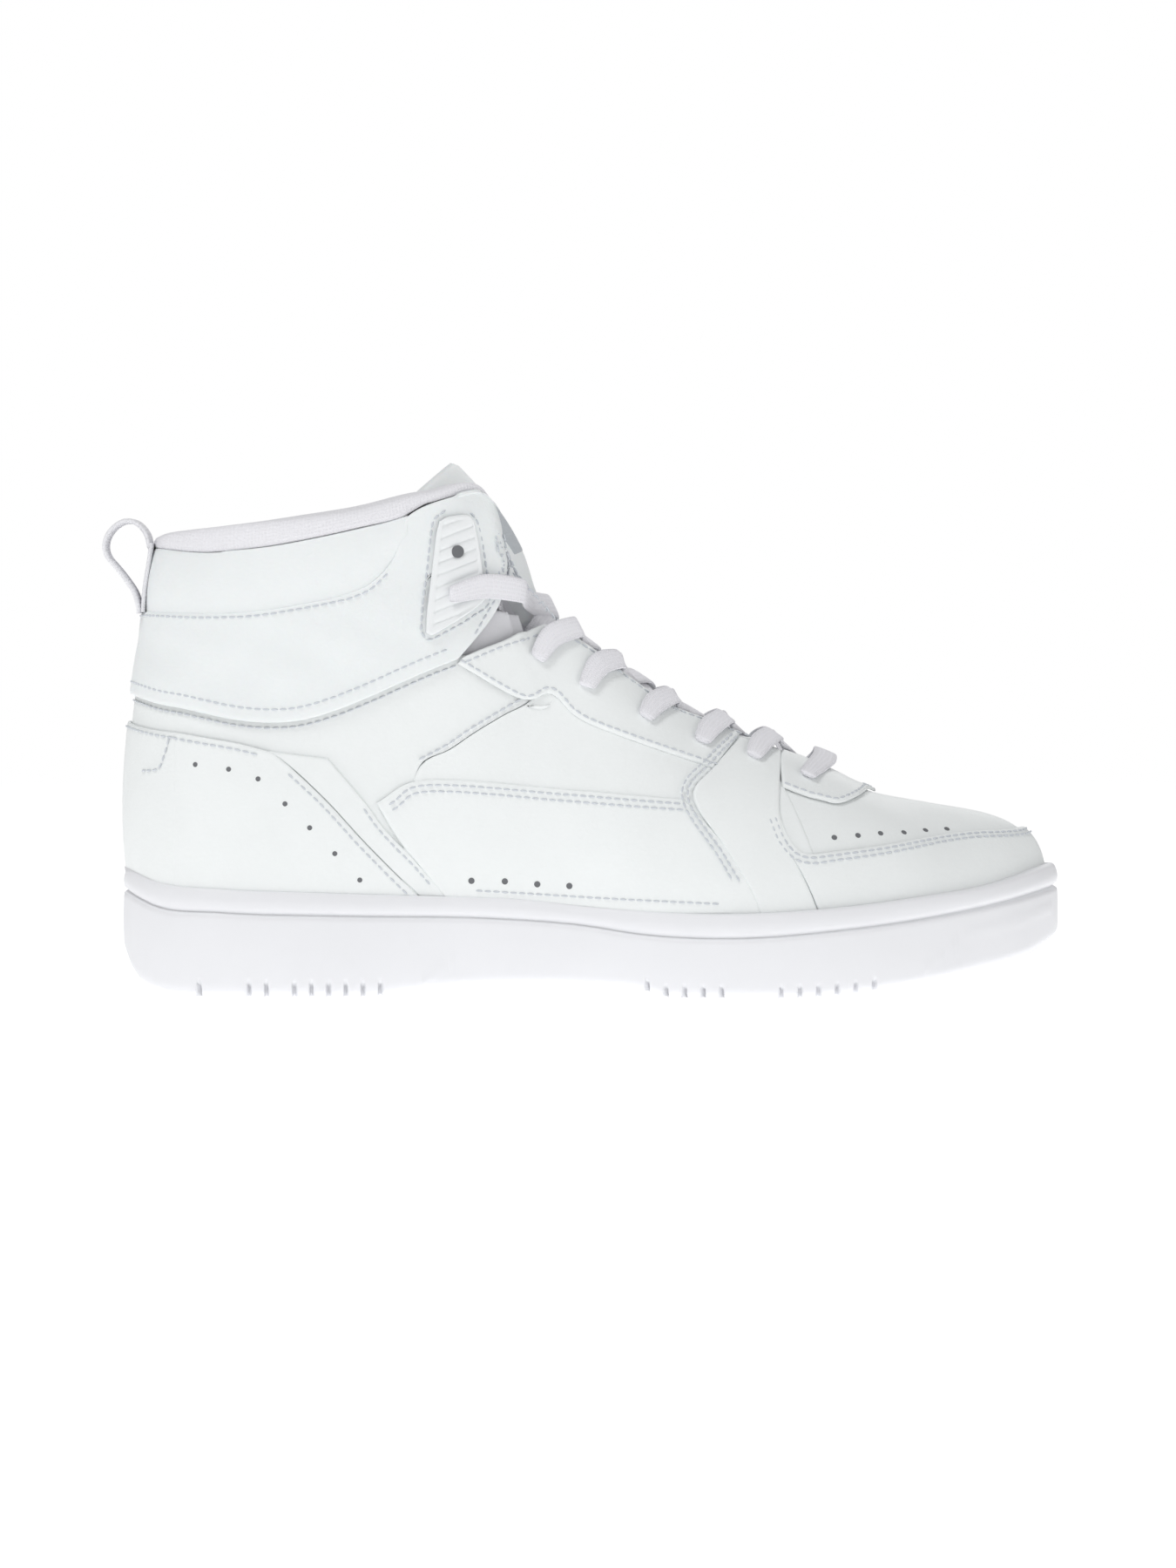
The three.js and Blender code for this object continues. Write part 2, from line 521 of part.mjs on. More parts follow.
// ---------------------------------------------------------------- upper, base layer
const VAMP_START = 9.84; // the station where the vamp begins
const VAMP_SEAM = (VAMP_START - 0.1) / TURN; // the quarters end just behind it
for (const side of [MEDIAL, LATERAL]) {
  const heel = (z) => atHeight(0, z);
  const label = sideName[side];
  const rearBottom = [[-side * 0.002, 0], foot(side, 86)];
  const rearTop = [[-side * 0.002, heel(98)[1]], ...onSide(side, ANKLE_LAP)];
  const rearFront = onSide(side, [...QUARTER_SEAM, [128, 99], [117, 107]]);
  const grid = { bottom: rearBottom, top: rearTop, left: [rearBottom[0], rearTop[0]],
    right: [rearBottom[1], ...rearFront, rearTop[rearTop.length - 1]] };
  const turned = ({ bottom, top, left, right }) => (side === MEDIAL ? { bottom, top, left, right }
    : { bottom: [...bottom].reverse(), top: [...top].reverse(), left: right, right: left });
  add(`rear_quarter_${label}`, skin(patch(turned(grid), 10, 7), ...BASE));

  const frontBottom = [foot(side, 87), [-side * VAMP_SEAM, 0]];
  const frontTop = onSide(side, [[135, 112], [146.9, 108.6], [158, 100], [172, 90.4], [185.2, 84.6]]);
  frontTop.push([-side * VAMP_SEAM, 0.975]);
  const frontQuarter = { bottom: frontBottom, top: frontTop,
    left: [frontBottom[0], ...onSide(side, QUARTER_SEAM.map(([x, z]) => [x + 1.2, z - 0.3])), frontTop[0]],
    right: [frontBottom[1], frontTop[frontTop.length - 1]] };
  add(`front_quarter_${label}`, punched(skin(patch(turned(frontQuarter), 9, 5), ...BASE),
    eyeletRods(side, 1, 5)));

  add(`heel_overlay_${label}`, skin(sidePatch(side, {
    bottom: [[18, 24.5], [60, 24], [100, 22]], top: [[18.5, 83], ...HEEL_TOP.slice(1)],
    front: [...HEEL_FRONT].reverse() }, 7, 6), ...OVERLAY));
  add(`side_strap_${label}`, skin(sidePatch(side, {
    bottom: [[100.9, 22], [111, 21.5]], top: [[49.4, 77.2], [61.5, 76.4]],
    rear: [...HEEL_FRONT].reverse().map(([x, z]) => [x + 0.5, z + 0.5]),
    front: [...STRAP_FRONT].reverse() }, 2, 7), ...OVERLAY));
  add(`side_panel_${label}`, skin(sidePatch(side, {
    bottom: [[111.6, 21.5], [160, 17], [203, 15.5]], top: [[82, 59.6], [97, 67.6], [140, 64.6], [176, 61.6]],
    rear: [[97.3, 39.5], [89, 48.9]], front: [[200, 30], [190.5, 46.5]] }, 11, 5), ...OVERLAY));
  add(`saddle_${label}`, punched(skin(sidePatch(side, {
    bottom: [[204, 15.5], [222, 15.5]], top: [[196.1, 80.8], [207.4, 77.2]],
    rear: [[201, 30], [191.3, 46.8], [181, 63], [188.9, 72.2]],
    front: [[216, 34], [209, 46], [206.9, 57], [207.2, 65]] }, 3, 9), ...OVERLAY),
  eyeletRods(side, 1, 1)));
  add(`eyestay_${label}`, punched(skin(sidePatch(side, {
    bottom: EYESTAY_HEM,
    top: [[107.6, 106.2], [114, 108.6], [121, 111.4], [128, 114.2], [135.9, 117], ...THROAT.slice(1, 5),
      [195.2, 81.9]] }, 14, 3), ...OVERLAY), eyeletRods(side, 2, 5)));
  add(`eyelet_plate_${label}`, punched(skin(sidePatch(side, {
    bottom: [[96.4, 114.2], [98.5, 113.8], [110.2, 120.8], [114.9, 124.6]],
    top: [[100.3, 149.3], [103.3, 151], [108.8, 151.3], [110.2, 149.1]],
    rear: [[96.8, 122], [98.3, 135.7], [99.3, 145.5]], front: [[113.2, 135.7], [111.7, 144.1]] }, 4, 7),
  SECOND, SECOND + PLATE), eyeletRods(side, 6, 7)));
  const liningTop = [[-side * 0.002, heel(108)[1]],
    ...onSide(side, [[27, 108], [60, 108], [95, 107], [112, 104.5], [131, 107], [146.9, 106.6], [158, 98.6], [172, 89.2], [185.2, 83.6]]), [-side * VAMP_SEAM, 0.96]];
  const liningBottom = [[-side * 0.002, 0], [-side * VAMP_SEAM, 0]];
  add(`quarter_lining_${label}`, punched(skin(patch(turned({ bottom: liningBottom, top: liningTop,
    left: [liningBottom[0], liningTop[0]], right: [liningBottom[1], liningTop[liningTop.length - 1]],
  }), 12, 5), LINING_LOW, LINING_TOP), eyeletRods(side, 1, 5)), TEXTILE_WHITE, 0.9);
}

const topRods = eyeletRods(MEDIAL, 6, 7).add(eyeletRods(LATERAL, 6, 7));
add('heel_patch', skin(heelPatch({ bottom: [[17.2, 24.5]], top: [[17.7, 82.9]] }, 24.5, 86.4, 6, 6), ...OVERLAY));
add('ankle_panel', punched(skin(heelPatch({ bottom: ANKLE_HEM, top: [...COLLAR_SEAM, [99, 155.6], [111.5, 158.4],
  [114.6, 155.5]], front: [[116.4, 118], [119.8, 124], [120.9, 129], [120, 138.5], [117.4, 149]] },
94.6, 120.8, 28, 4), ...OVERLAY), topRods));
add('collar_panel', skin(heelPatch({ bottom: COLLAR_SEAM.map(([x, z]) => [x, z - 1.8]),
  top: KNIT_EDGE }, 119, 141.4, 16, 3), ...BASE));

// The foam fills the collar between the leather and the knit lining.
const foamPlaces = heelPatch({
  bottom: [[27, 112], [60, 112], [95, 112], [113.5, 113.5]],
  top: [[27, 143.4], [43.6, 144.4], [65.8, 146.4], [88, 150.6], [106, 154], [110.4, 151.6]],
  front: [[115.6, 128], [115.4, 138]] }, 112, 140.4, 22, 3);
add('collar_foam', punched(skin(foamPlaces, (t, v) => MIDDLE_TOP - padding(t, v), MIDDLE_TOP), topRods),
  TEXTILE_WHITE, 0.9);

// The knit lining rolls over the top edge: it starts outside at the collar seam, goes over the
// foam and runs down inside.
function knitLine(t) {
  if (Math.abs(t) < 0.02) return atHeight(t, 142.1)[1];
  const side = t > 0 ? MEDIAL : LATERAL;
  const lines = [[10.3, 142.1], ...KNIT_EDGE, [99, 156.2], [111.5, 159]].map(([x, z]) => [x, z + 0.6]);
  const places = onSide(side, lines);
  let i = 1;
  while (i < places.length - 1 && Math.abs(places[i][0]) < Math.abs(t)) i += 1;
  const [t0, v0] = places[i - 1];
  const [t1, v1] = places[i];
  const share = Math.min(1, Math.max(0, (t - t0) / (t1 - t0)));
  return Math.min(0.972, v0 + share * (v1 - v0));
}

const COLLAR_END = 0.243;
const COLLAR_COLUMNS = 20;
function collarSection(t) {
  const low = atHeight(t, 112)[1];
  const edge = knitLine(t);
  const pad = (v) => padding(t, v) - MIDDLE_TOP + INNER_GAP;
  const wall = [0.4, 0.75, 1].map((share) => 0.975 - share * (0.975 - low));
  const outside = [[edge, 0], [0.99, 0], [1, -0.6], [1.005, -pad(1) / 2], [1, -pad(1) + 0.4],
    [0.982, -pad(0.98) - LINING * 0.6], ...wall.map((v) => [v, -pad(v) - LINING])];
  const inside = [[edge, -LINING], [0.982, -LINING], [0.99, -LINING - 0.5], [0.992, -pad(1) / 2],
    [0.99, -pad(1) + 1],
    [0.975, -pad(0.975) + 0.1], ...wall.map((v) => [v, -pad(v)])];
  return { outside, inside };
}
const collarRows = Array.from({ length: COLLAR_COLUMNS + 1 }, (_, i) => {
  const t = COLLAR_END * (2 * i / COLLAR_COLUMNS - 1);
  const { outside, inside } = collarSection(t);
  return [outside, inside].map((line) => line.map(([v, out]) => shell(t, v, out)));
});
add('collar_lining', punched(slab(collarRows.map((row) => row[0]), collarRows.map((row) => row[1])), topRods),
  TEXTILE_WHITE, 0.95);

// ---------------------------------------------------------------- upper, toe
const MEDIAL_TOE = 0.5;
const toeRods = eyeletRods(MEDIAL, 0, 1).add(eyeletRods(LATERAL, 0, 1));

// The vamp is gridded by stations, so that its two sides meet exactly on the middle line.
function foldedToe(start, from, to, m, edge = 1) {
  const columns = [start, 10.5, 11, 11.5, 12, 12.6, 13.3, 14].map((k) => k / TURN);
  const round = [...columns, ...columns.slice(0, -1).reverse().map((t) => 1 - t)];
  const reach = (t) => edge + (1 - edge) * ramp(Math.min(t, 1 - t), 11.3 / TURN, 12 / TURN);
  const grid = round.map((t) => Array.from({ length: m + 1 }, (_, j) => [t, reach(t) * j / m]));
  return punched(skin(grid, from, to), toeRods);
}
add('vamp', foldedToe(VAMP_START, ...BASE, 8));
add('vamp_lining', foldedToe(VAMP_START + 0.02, LINING_LOW, LINING_TOP, 6, 0.9), TEXTILE_WHITE, 0.9);

const footToToe = (x) => [[feather(x), 0.03], [0.42, 0.03], [MEDIAL_TOE, 0.03]];
const mudguardTop = [...onSide(MEDIAL, [[209.6, 49.6], [216.3, 45], [226.8, 45.8], [249, 48.6]]),
  [12.4 / TURN, 0.46], [13.2 / TURN, 0.46], [MEDIAL_TOE, 0.5]];
add('mudguard', skin(toePatch({ bottom: footToToe(223.5), top: mudguardTop,
  rear: onSide(MEDIAL, [[217, 34]]) }, 22, 4), ...OVERLAY));
add('toe_puff', skin(toePatch({ bottom: footToToe(246), top: [locate(MEDIAL, 244, 53), [0.42, 0.62],
  [MEDIAL_TOE, 0.8]] }, 14, 3), MIDDLE_LOW + 0.4, MIDDLE_TOP), TEXTILE_WHITE, 0.8);
add('heel_counter', skin(heelPatch({ bottom: [[40, 22.5], [82, 22]], top: [[30, 84], [60, 72], [78, 52]] },
  23, 88, 14, 4), MIDDLE_LOW, MIDDLE_TOP), TEXTILE_WHITE, 0.8);

// The throat stay is one horseshoe round the front of the throat.
const stayOuter = [...onSide(MEDIAL, [[208.4, 66], [214, 63.4], [221.2, 61.3], [227.6, 61.4]]),
  [12.35 / TURN, 1]];
const stayInner = [...onSide(MEDIAL, [[208.6, 77]]), ...[10.62, 11, 11.5].map((k) => [k / TURN, 0.985]),
  [12.02 / TURN, 1]];
const stayHalf = divide(stayOuter, 8).places.map((low, i) => {
  const high = divide(stayInner, 8).places[i];
  return [0, 1, 2, 3].map((j) => low.map((value, axis) => value + (high[axis] - value) * j / 3));
});
const mirror = (column) => column.map(([t, v]) => [1 - t, v]);
const stayPlaces = [...stayHalf, ...stayHalf.slice(0, -1).reverse().map(mirror)];
add('throat_stay', punched(skin(stayPlaces, ...OVERLAY), toeRods));

// ---------------------------------------------------------------- tongue
// The middle line of the tongue's outer face from the toe end up, with the radius of its bend
// over the foot and how far the wings reach round, in degrees.
const TONGUE = [
  { at: [232, 56.5], radius: 30, wings: 30 },
  { at: [216, 65], radius: 27, wings: 38 },
  { at: [200, 73.6], radius: 22, wings: 42 },
  { at: [178, 87], radius: 20.5, wings: 47 },
  { at: [158, 100.2], radius: 20.5, wings: 50 },
  { at: [142, 111.6], radius: 21, wings: 54 },
  { at: [131.4, 124.4], radius: 22, wings: 57 },
  { at: [125.8, 139.9], radius: 24, wings: 64 },
  { at: [117.6, 153.6], radius: 26, wings: 74 },
  { at: [104.6, 168.6], radius: 28, wings: 80 },
];
const tongueLine = new THREE.CatmullRomCurve3(TONGUE.map(({ at }) => place(at[0], 0, at[1])), false,
  'catmullrom', 0.5);
const tongueShape = new THREE.CatmullRomCurve3(
  TONGUE.map(({ radius, wings }) => new THREE.Vector3(radius * WIDTH_SCALE, wings * Math.PI / 180, 0)),
  false, 'catmullrom', 0.5);

// A point of the tongue: a runs up its length, b from the medial to the lateral wing, out lifts
// it off the outer face.
function onTongue(a, b, out) {
  const middle = tongueLine.getPoint(a);
  const along = tongueLine.getTangent(a);
  const up = new THREE.Vector3(-along.z, 0, along.x).negate();
  const { x: radius, y: wings } = tongueShape.getPoint(a);
  const angle = b * wings;
  const reach = radius + out;
  return middle.addScaledVector(up, reach * Math.cos(angle) - radius)
    .add(new THREE.Vector3(0, reach * Math.sin(angle), 0));
}

const tongueGrid = (a0, a1, n, b0, b1, m, from, to) => {
  const sheet = (out) => Array.from({ length: n + 1 }, (_, i) => Array.from({ length: m + 1 }, (__, j) => {
    const a = a0 + (a1 - a0) * i / n;
    return onTongue(a, b0 + (b1 - b0) * j / m, typeof out === 'function' ? out(a) : out);
  }));
  return slab(sheet(to).reverse(), sheet(from).reverse());
};
const foamDepth = (a) => -TONGUE_FACE - LAYER_GAP - (1.5 + (TONGUE_FOAM - 1.5) * ramp(a, 0.05, 0.6));
add('tongue_face', tongueGrid(0, 1, 16, -1, 1, 8, -TONGUE_FACE, 0));
add('tongue_foam', tongueGrid(0.02, 0.985, 12, -0.93, 0.93, 6, foamDepth, -TONGUE_FACE - LAYER_GAP),
  TEXTILE_WHITE, 0.9);
add('tongue_lining', tongueGrid(0.02, 1, 12, -0.97, 0.97, 6, (a) => foamDepth(a) - LAYER_GAP - TONGUE_LINING,
  (a) => foamDepth(a) - LAYER_GAP), TEXTILE_WHITE, 0.95);
add('tongue_patch', tongueGrid(0.77, 0.9, 4, -0.45, 0.45, 4, LAYER_GAP, LAYER_GAP + 0.7), 0xb9bec4, 0.6);

// ---------------------------------------------------------------- lace
// One flat lace, laced over: it leaves an eyelet underneath, comes out at the throat, crosses
// the tongue and enters the next eyelet of the other side from outside.
const LACE_OVER = OVERLAY[1] + LACE_GAP + LACE_THICK / 2;
const LACE_UNDER = LINING_LOW - LACE_GAP - LACE_THICK / 2;
const eyelet = (side, k) => locate(side, ...EYELETS[k]);
const plateOver = SECOND + PLATE + LACE_GAP + LACE_THICK / 2;
const overAt = (k) => (k === 6 ? plateOver : LACE_OVER);
const underAt = (k) => (k === 6 ? LINING_LOW - PAD_EDGE - 3.4 : LACE_UNDER);
const between = (a, b, share) => a.map((value, axis) => value + share * (b[axis] - value));

function lacePoint(t, v, out, width = LACE_WIDTH) {
  return { at: shell(t, v, out), up: normal(t, v), width };
}

// The way through an eyelet from outside to inside.
function through(side, k) {
  const [t, v] = eyelet(side, k);
  const over = overAt(k);
  const under = underAt(k);
  return [
    lacePoint(t, v, over, LACE_IN_EYELET + 0.6),
    { ...lacePoint(t, v, over - 0.9, LACE_IN_EYELET), up: null },
    { ...lacePoint(t, v, (over + under) / 2, LACE_IN_EYELET), up: null },
    { ...lacePoint(t, v, under + 0.9, LACE_IN_EYELET), up: null },
    lacePoint(t, v, under, LACE_IN_EYELET + 0.6),
  ];
}

// How far up the tongue its middle line passes a given x.
function tonguePlace(x) {
  let low = 0;
  let high = 1;
  for (let pass = 0; pass < 30; pass += 1) {
    const middle = (low + high) / 2;
    if (tongueLine.getPoint(middle).x > x) low = middle;
    else high = middle;
  }
  return low;
}

// The place on the throat edge at a given x.
function throatEdge(side, x) {
  let low = 7 / TURN;
  let high = 12 / TURN;
  for (let pass = 0; pass < 30; pass += 1) {
    const middle = (low + high) / 2;
    if (surface(middle, 1).x < x * LENGTH_SCALE) low = middle;
    else high = middle;
  }
  return [-side * low, 1];
}
const THROAT_CROSSINGS = [205, 189.8, 172.5, 155.5, 142.5]; // into eyelets 1 to 5, toe end first

// From the inside of eyelet k on one side, over the tongue, to the outside of eyelet k + 1.
function crossing(side, k, rise) {
  const from = eyelet(side, k);
  const to = eyelet(-side, k + 1);
  const leave = throatEdge(side, EYELETS[k][0] + 4);
  const arrive = k === 5 ? locate(-side, 121.6, 126.6) : throatEdge(-side, THROAT_CROSSINGS[k]);
  const edgeFrom = shell(...leave, LACE_UNDER);
  const edgeTo = shell(...arrive, overAt(k + 1) + 1);
  edgeTo.y *= 0.93;
  edgeTo.z += 0.6;
  if (k === 5) edgeTo.x += 3;
  // Between the two edges the strand is straight, unless the tongue lifts it.
  const middle = [0.1, 0.22, 0.36, 0.5, 0.64, 0.78, 0.9].map((share) => {
    const line = edgeFrom.clone().lerp(edgeTo, share);
    const a = tonguePlace(line.x);
    const { x: radius, y: wings } = tongueShape.getPoint(a);
    const b = Math.asin(Math.max(-0.85, Math.min(0.85, line.y / radius))) / wings;
    const base = onTongue(a, b, 0);
    const up = onTongue(a, b, 1).sub(base);
    const crest = rise * Math.min(1, 3 * Math.min(share, 1 - share));
    const free = line.clone().sub(base).dot(up) + crest;
    const needed = LACE_GAP + 0.9 + LACE_THICK / 2 + crest;
    const at = line.addScaledVector(up, crest + Math.max(0, needed - free));
    return { at, up, width: LACE_WIDTH };
  });
  return [
    lacePoint(...between(from, leave, 0.55), underAt(k) - 0.8),
    { ...lacePoint(...leave, LACE_UNDER), at: edgeFrom },
    ...middle,
    { ...lacePoint(...arrive, 0), at: edgeTo },
    lacePoint(...between(to, arrive, 0.5), overAt(k + 1) + 0.3),
  ];
}

// Where two strands cross, the second lies on the first.
const SECOND_RISE = LACE_THICK + LACE_GAP;
// One half of the lacing, from the front bar up to the top eyelet of the given side.
function climb(startSide) {
  const route = [];
  let side = startSide;
  for (let k = 0; k < 6; k += 1) {
    route.push(...through(side, k), ...crossing(side, k, side === MEDIAL ? 0 : SECOND_RISE));
    side = -side;
  }
  route.push(...through(side, 6));
  const tail = [[0.215, 118], [0.205, 108], [0.2, 98], [0.197, 88]];
  tail.forEach(([t, z], i) => {
    route.push(lacePoint(...atHeight(-side * t, z), underAt(6) - 0.6, i === 3 ? 4 : LACE_WIDTH - 1.5 * i));
  });
  return route;
}

// The first bar joins the two front eyelets across the throat.
const [barT] = throatEdge(MEDIAL, EYELETS[0][0] + 4.5);
const barMiddle = surface(barT, 1).setY(0).add(new THREE.Vector3(2.2, 0, LACE_OVER + 1.6));
const bar = [
  { ...lacePoint(barT, 1, 0), at: shell(barT, 1, LACE_OVER + 0.4) },
  { at: barMiddle, up: new THREE.Vector3(0.4, 0, 1).normalize(), width: LACE_WIDTH },
  { ...lacePoint(-barT, 1, 0), at: shell(-barT, 1, LACE_OVER + 0.4) },
];
const laceRoute = [...climb(MEDIAL).reverse(), ...bar, ...climb(LATERAL)];

// A flat ribbon along a route: its width stays square to the way it runs and to 'up'.
function ribbon(route, thick) {
  let width = null;
  const rings = route.map((stop, i) => {
    const before = route[Math.max(0, i - 1)].at;
    const after = route[Math.min(route.length - 1, i + 1)].at;
    const along = after.clone().sub(before).normalize();
    let across = stop.up ? stop.up.clone().cross(along) : width.clone();
    across.addScaledVector(along, -across.dot(along)).normalize();
    if (width && across.dot(width) < 0) across = across.negate();
    width = across.clone();
    const face = along.clone().cross(across).normalize();
    const corner = (w, h) => stop.at.clone().addScaledVector(across, w * stop.width / 2)
      .addScaledVector(face, h * thick / 2);
    return [corner(-1, -1), corner(1, -1), corner(1, 1), corner(-1, 1)];
  });
  const quads = [];
  for (let i = 0; i + 1 < rings.length; i += 1) {
    for (let k = 0; k < 4; k += 1) {
      const next = (k + 1) % 4;
      quads.push([rings[i][k], rings[i][next], rings[i + 1][next], rings[i + 1][k]]);
    }
  }
  quads.push([...rings[0]].reverse(), rings[rings.length - 1]);
  return closedGeometry(quads);
}
add('lace', ribbon(laceRoute, LACE_THICK), TEXTILE_WHITE, 0.9);

// The aglets close the two ends of the lace, tucked inside the ankle.
for (const side of [MEDIAL, LATERAL]) {
  const ends = [85.2, 76, 67].map((z) => lacePoint(...atHeight(-side * 0.1965, z), underAt(6) - 0.6, 3.6));
  add(`aglet_${sideName[side]}`, ribbon(ends, 2.4), 0xe8ecef, 0.25);
}

// ---------------------------------------------------------------- pull tab
function webbing(points, thick = WEBBING) {
  const line = points.map(([x, z]) => place(x, 0, z));
  const sheet = (offset) => line.map((p, i) => {
    const along = line[Math.min(line.length - 1, i + 1)].clone().sub(line[Math.max(0, i - 1)]).normalize();
    const out = new THREE.Vector3(along.z, 0, -along.x).multiplyScalar(offset);
    return [-0.5, 0, 0.5].map((share) => p.clone().add(out)
      .add(new THREE.Vector3(0, share * WEBBING_WIDTH, 0)));
  });
  return slab(sheet(-thick / 2), sheet(thick / 2));
}
const TAB_HEIGHTS = [123, 129, 135, 141];
const tabBase = TAB_HEIGHTS.map((z) => {
  const p = shell(...atHeight(0, z), 0);
  return [p.x - LAYER_GAP - WEBBING / 2 - 0.9, z];
});
const baseLine = tabBase.map(([x, z]) => [x / LENGTH_SCALE, z]);
add('pull_tab_base', webbing(baseLine), TEXTILE_WHITE, 0.9);
add('pull_tab_loop', webbing([[3.4, 149.6], [0.6, 149.9], [-2.8, 148], [-5, 145], [-5.7, 141.6], [-4.7, 138.4],
  [-2, 135.9], [0.6, 134.2], [2.6, 132.4]]), TEXTILE_WHITE, 0.9);

// ---------------------------------------------------------------- origin
// The origin is under the middle of the shoe, on the ground.
const box = new THREE.Box3().setFromObject(shoe);
const middle = box.getCenter(new THREE.Vector3());
shoe.position.set(-middle.x, -middle.y, -box.min.z);
shoe.updateMatrixWorld(true);

export default shoe;
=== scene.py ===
# %% [markdown]
# # A white high top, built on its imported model
# The shoe is one smooth last-shaped surface, cut into leather panels. Each piece below is a patch
# of that surface, so the seams fit by themselves. All working sizes are millimetres, and they are
# turned into metres when a mesh is made.

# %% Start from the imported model
import math

import bmesh
import bpy
import numpy as np
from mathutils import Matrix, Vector


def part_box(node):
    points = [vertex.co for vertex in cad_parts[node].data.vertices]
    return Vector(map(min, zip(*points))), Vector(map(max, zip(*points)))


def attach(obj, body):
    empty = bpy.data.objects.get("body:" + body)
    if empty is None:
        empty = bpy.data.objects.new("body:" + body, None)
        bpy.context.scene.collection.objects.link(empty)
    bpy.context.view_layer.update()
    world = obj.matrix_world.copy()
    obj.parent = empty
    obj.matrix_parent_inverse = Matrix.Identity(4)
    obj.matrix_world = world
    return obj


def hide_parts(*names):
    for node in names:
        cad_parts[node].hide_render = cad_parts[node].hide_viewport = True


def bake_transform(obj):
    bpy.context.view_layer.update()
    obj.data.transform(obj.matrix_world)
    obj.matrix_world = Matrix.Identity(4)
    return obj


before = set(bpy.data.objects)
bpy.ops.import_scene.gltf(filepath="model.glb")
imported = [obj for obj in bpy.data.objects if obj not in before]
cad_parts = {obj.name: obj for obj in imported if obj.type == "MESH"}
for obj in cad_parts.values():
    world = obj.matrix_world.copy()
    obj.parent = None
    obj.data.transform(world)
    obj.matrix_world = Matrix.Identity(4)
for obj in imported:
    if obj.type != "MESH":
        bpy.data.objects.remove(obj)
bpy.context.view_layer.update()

# %% [markdown]
# ## The last
# A shoemaker lasts the upper over a foot-shaped form. Here the form is drawn as stations from heel
# to toe. At each station a wall climbs from the feather line, where the upper meets the sole, to
# the top line. Sculpting or a subdivision cage could make it too, but then a seam drawn in the
# side view would have no exact place on it. With a formula every seam has one.

# %% Stations of the last
# foot: x, y of the medial and lateral feather line. low, high: how the wall leaves the feather
# line and reaches the top line, as (along, outwards, up). top: x, y, z of the top line.
STATIONS = np.array([
    # foot               low             high            top
    [5.6, 0, 0, -11.5, 0, 41, -4, 0, -39.5, 10.5, 0, 144.5],
    [11, 22.5, 23, -7, 6.5, 41, -3, -0.5, -39.5, 15.5, 19.5, 146],
    [30, 34, 35, -2, 8, 40, -1, -1.5, -38, 31, 33.5, 147.6],
    [58, 35.5, 37, 0, 8, 38, 0, -5, -38, 52, 41, 149.6],
    [86, 33.5, 38.5, 0, 7, 36, 2, -5.5, -36, 75, 42.5, 152.8],
    [110, 31.5, 41, -1, 8, 36, 6, -4, -38, 97, 39, 158.4],
    [132, 32.5, 44, -2, 9, 36, 9, -1, -42, 114.5, 30, 160],
    [153, 36, 48, -1, 9, 33, 10, 5, -33, 122.3, 25.5, 132],
    [176, 42.5, 51.5, 0, 8, 31, 9, 9, -20, 143, 22.5, 113.6],
    [200, 48, 53, 0, 6, 30, 6, 13, -11, 172, 19, 92],
    [226, 48, 51.5, 0, 5, 30, 3, 15, -5.5, 203, 15, 79.8],
    [252, 42.5, 45, 1, 5, 28, 3, 16, -2.5, 224, 9, 70.3],
    [273, 31.5, 33.5, 2, 4, 27, 8, 15, -1, 234.5, 0, 64.8],
    [286.5, 18, 18, 3.5, 3, 27, 17, 9, -1.5, 246, 0, 62],
    [291.4, 3, -3, 4, 0, 27, 26, 0, -2.8, 256, 0, 60.2],
])
# Lines of the sole, as [along, up]: its underside, the top of its lip, the groove, and the footbed.
GROUND = np.array([[0, 14], [2, 9.4], [4.2, 5.8], [7.5, 3.1], [11.7, 1.4], [18.6, 0], [80, 0],
                   [94, 1.7], [113, 3.3], [150, 3.2], [164, 2.2], [172, 0], [212, 0], [232, 1.4],
                   [249, 3.9], [271, 8.3], [288, 13], [297, 18]])
LIP = np.array([[0, 40.4], [10, 36.4], [32, 34.1], [60, 33], [94, 31.9], [127, 30.8], [149, 28.6],
                [171, 26.9], [196, 26.6], [224, 28.3], [252, 31.6], [280, 36.1], [297, 41.5]])
GROOVE = np.array([[0, 33], [10, 28.6], [32, 26.6], [71, 25.5], [116, 24.7], [144, 22.8], [166, 19.7],
                   [196, 18.9], [224, 21.1], [252, 24.7], [280, 30], [297, 34.4]])
FOOTBED = np.array([[0, 21], [60, 20], [120, 16], [170, 11.5], [210, 11.5], [240, 14.5], [265, 18.5],
                    [285, 24], [297, 28]])
MEDIAL, LATERAL = -1, 1
LAST_STATION = len(STATIONS) - 1
TURN = 2 * LAST_STATION


def line_at(points, x):
    """Height of a line along the shoe: smooth between its points (a cubic through each pair)."""
    slope = np.gradient(points[:, 1], points[:, 0])
    i = np.clip(np.searchsorted(points[:, 0], x) - 1, 0, len(points) - 2)
    x0, x1 = points[i, 0], points[i + 1, 0]
    f = np.clip((x - x0) / (x1 - x0), 0, 1)
    span = x1 - x0
    a, b = points[i, 1], points[i + 1, 1]
    flat = (a == b)
    m0, m1 = np.where(flat, 0, slope[i]) * span, np.where(flat, 0, slope[i + 1]) * span
    return ((1 + 2 * f) * (1 - f) ** 2 * a + f * (1 - f) ** 2 * m0
            + f * f * (3 - 2 * f) * b + f * f * (f - 1) * m1)


def rail_points(side):
    """The four points that shape the wall at each station, for one side of the shoe."""
    s = STATIONS
    foot = np.column_stack([s[:, 0], side * s[:, 1 if side < 0 else 2],
                            np.interp(s[:, 0], FOOTBED[:, 0], FOOTBED[:, 1])])
    turn = np.array([1, side, 1])
    crest = s[:, 9:12] * turn
    return np.stack([foot, foot + s[:, 3:6] * turn, crest + s[:, 6:9] * turn, crest], axis=1)


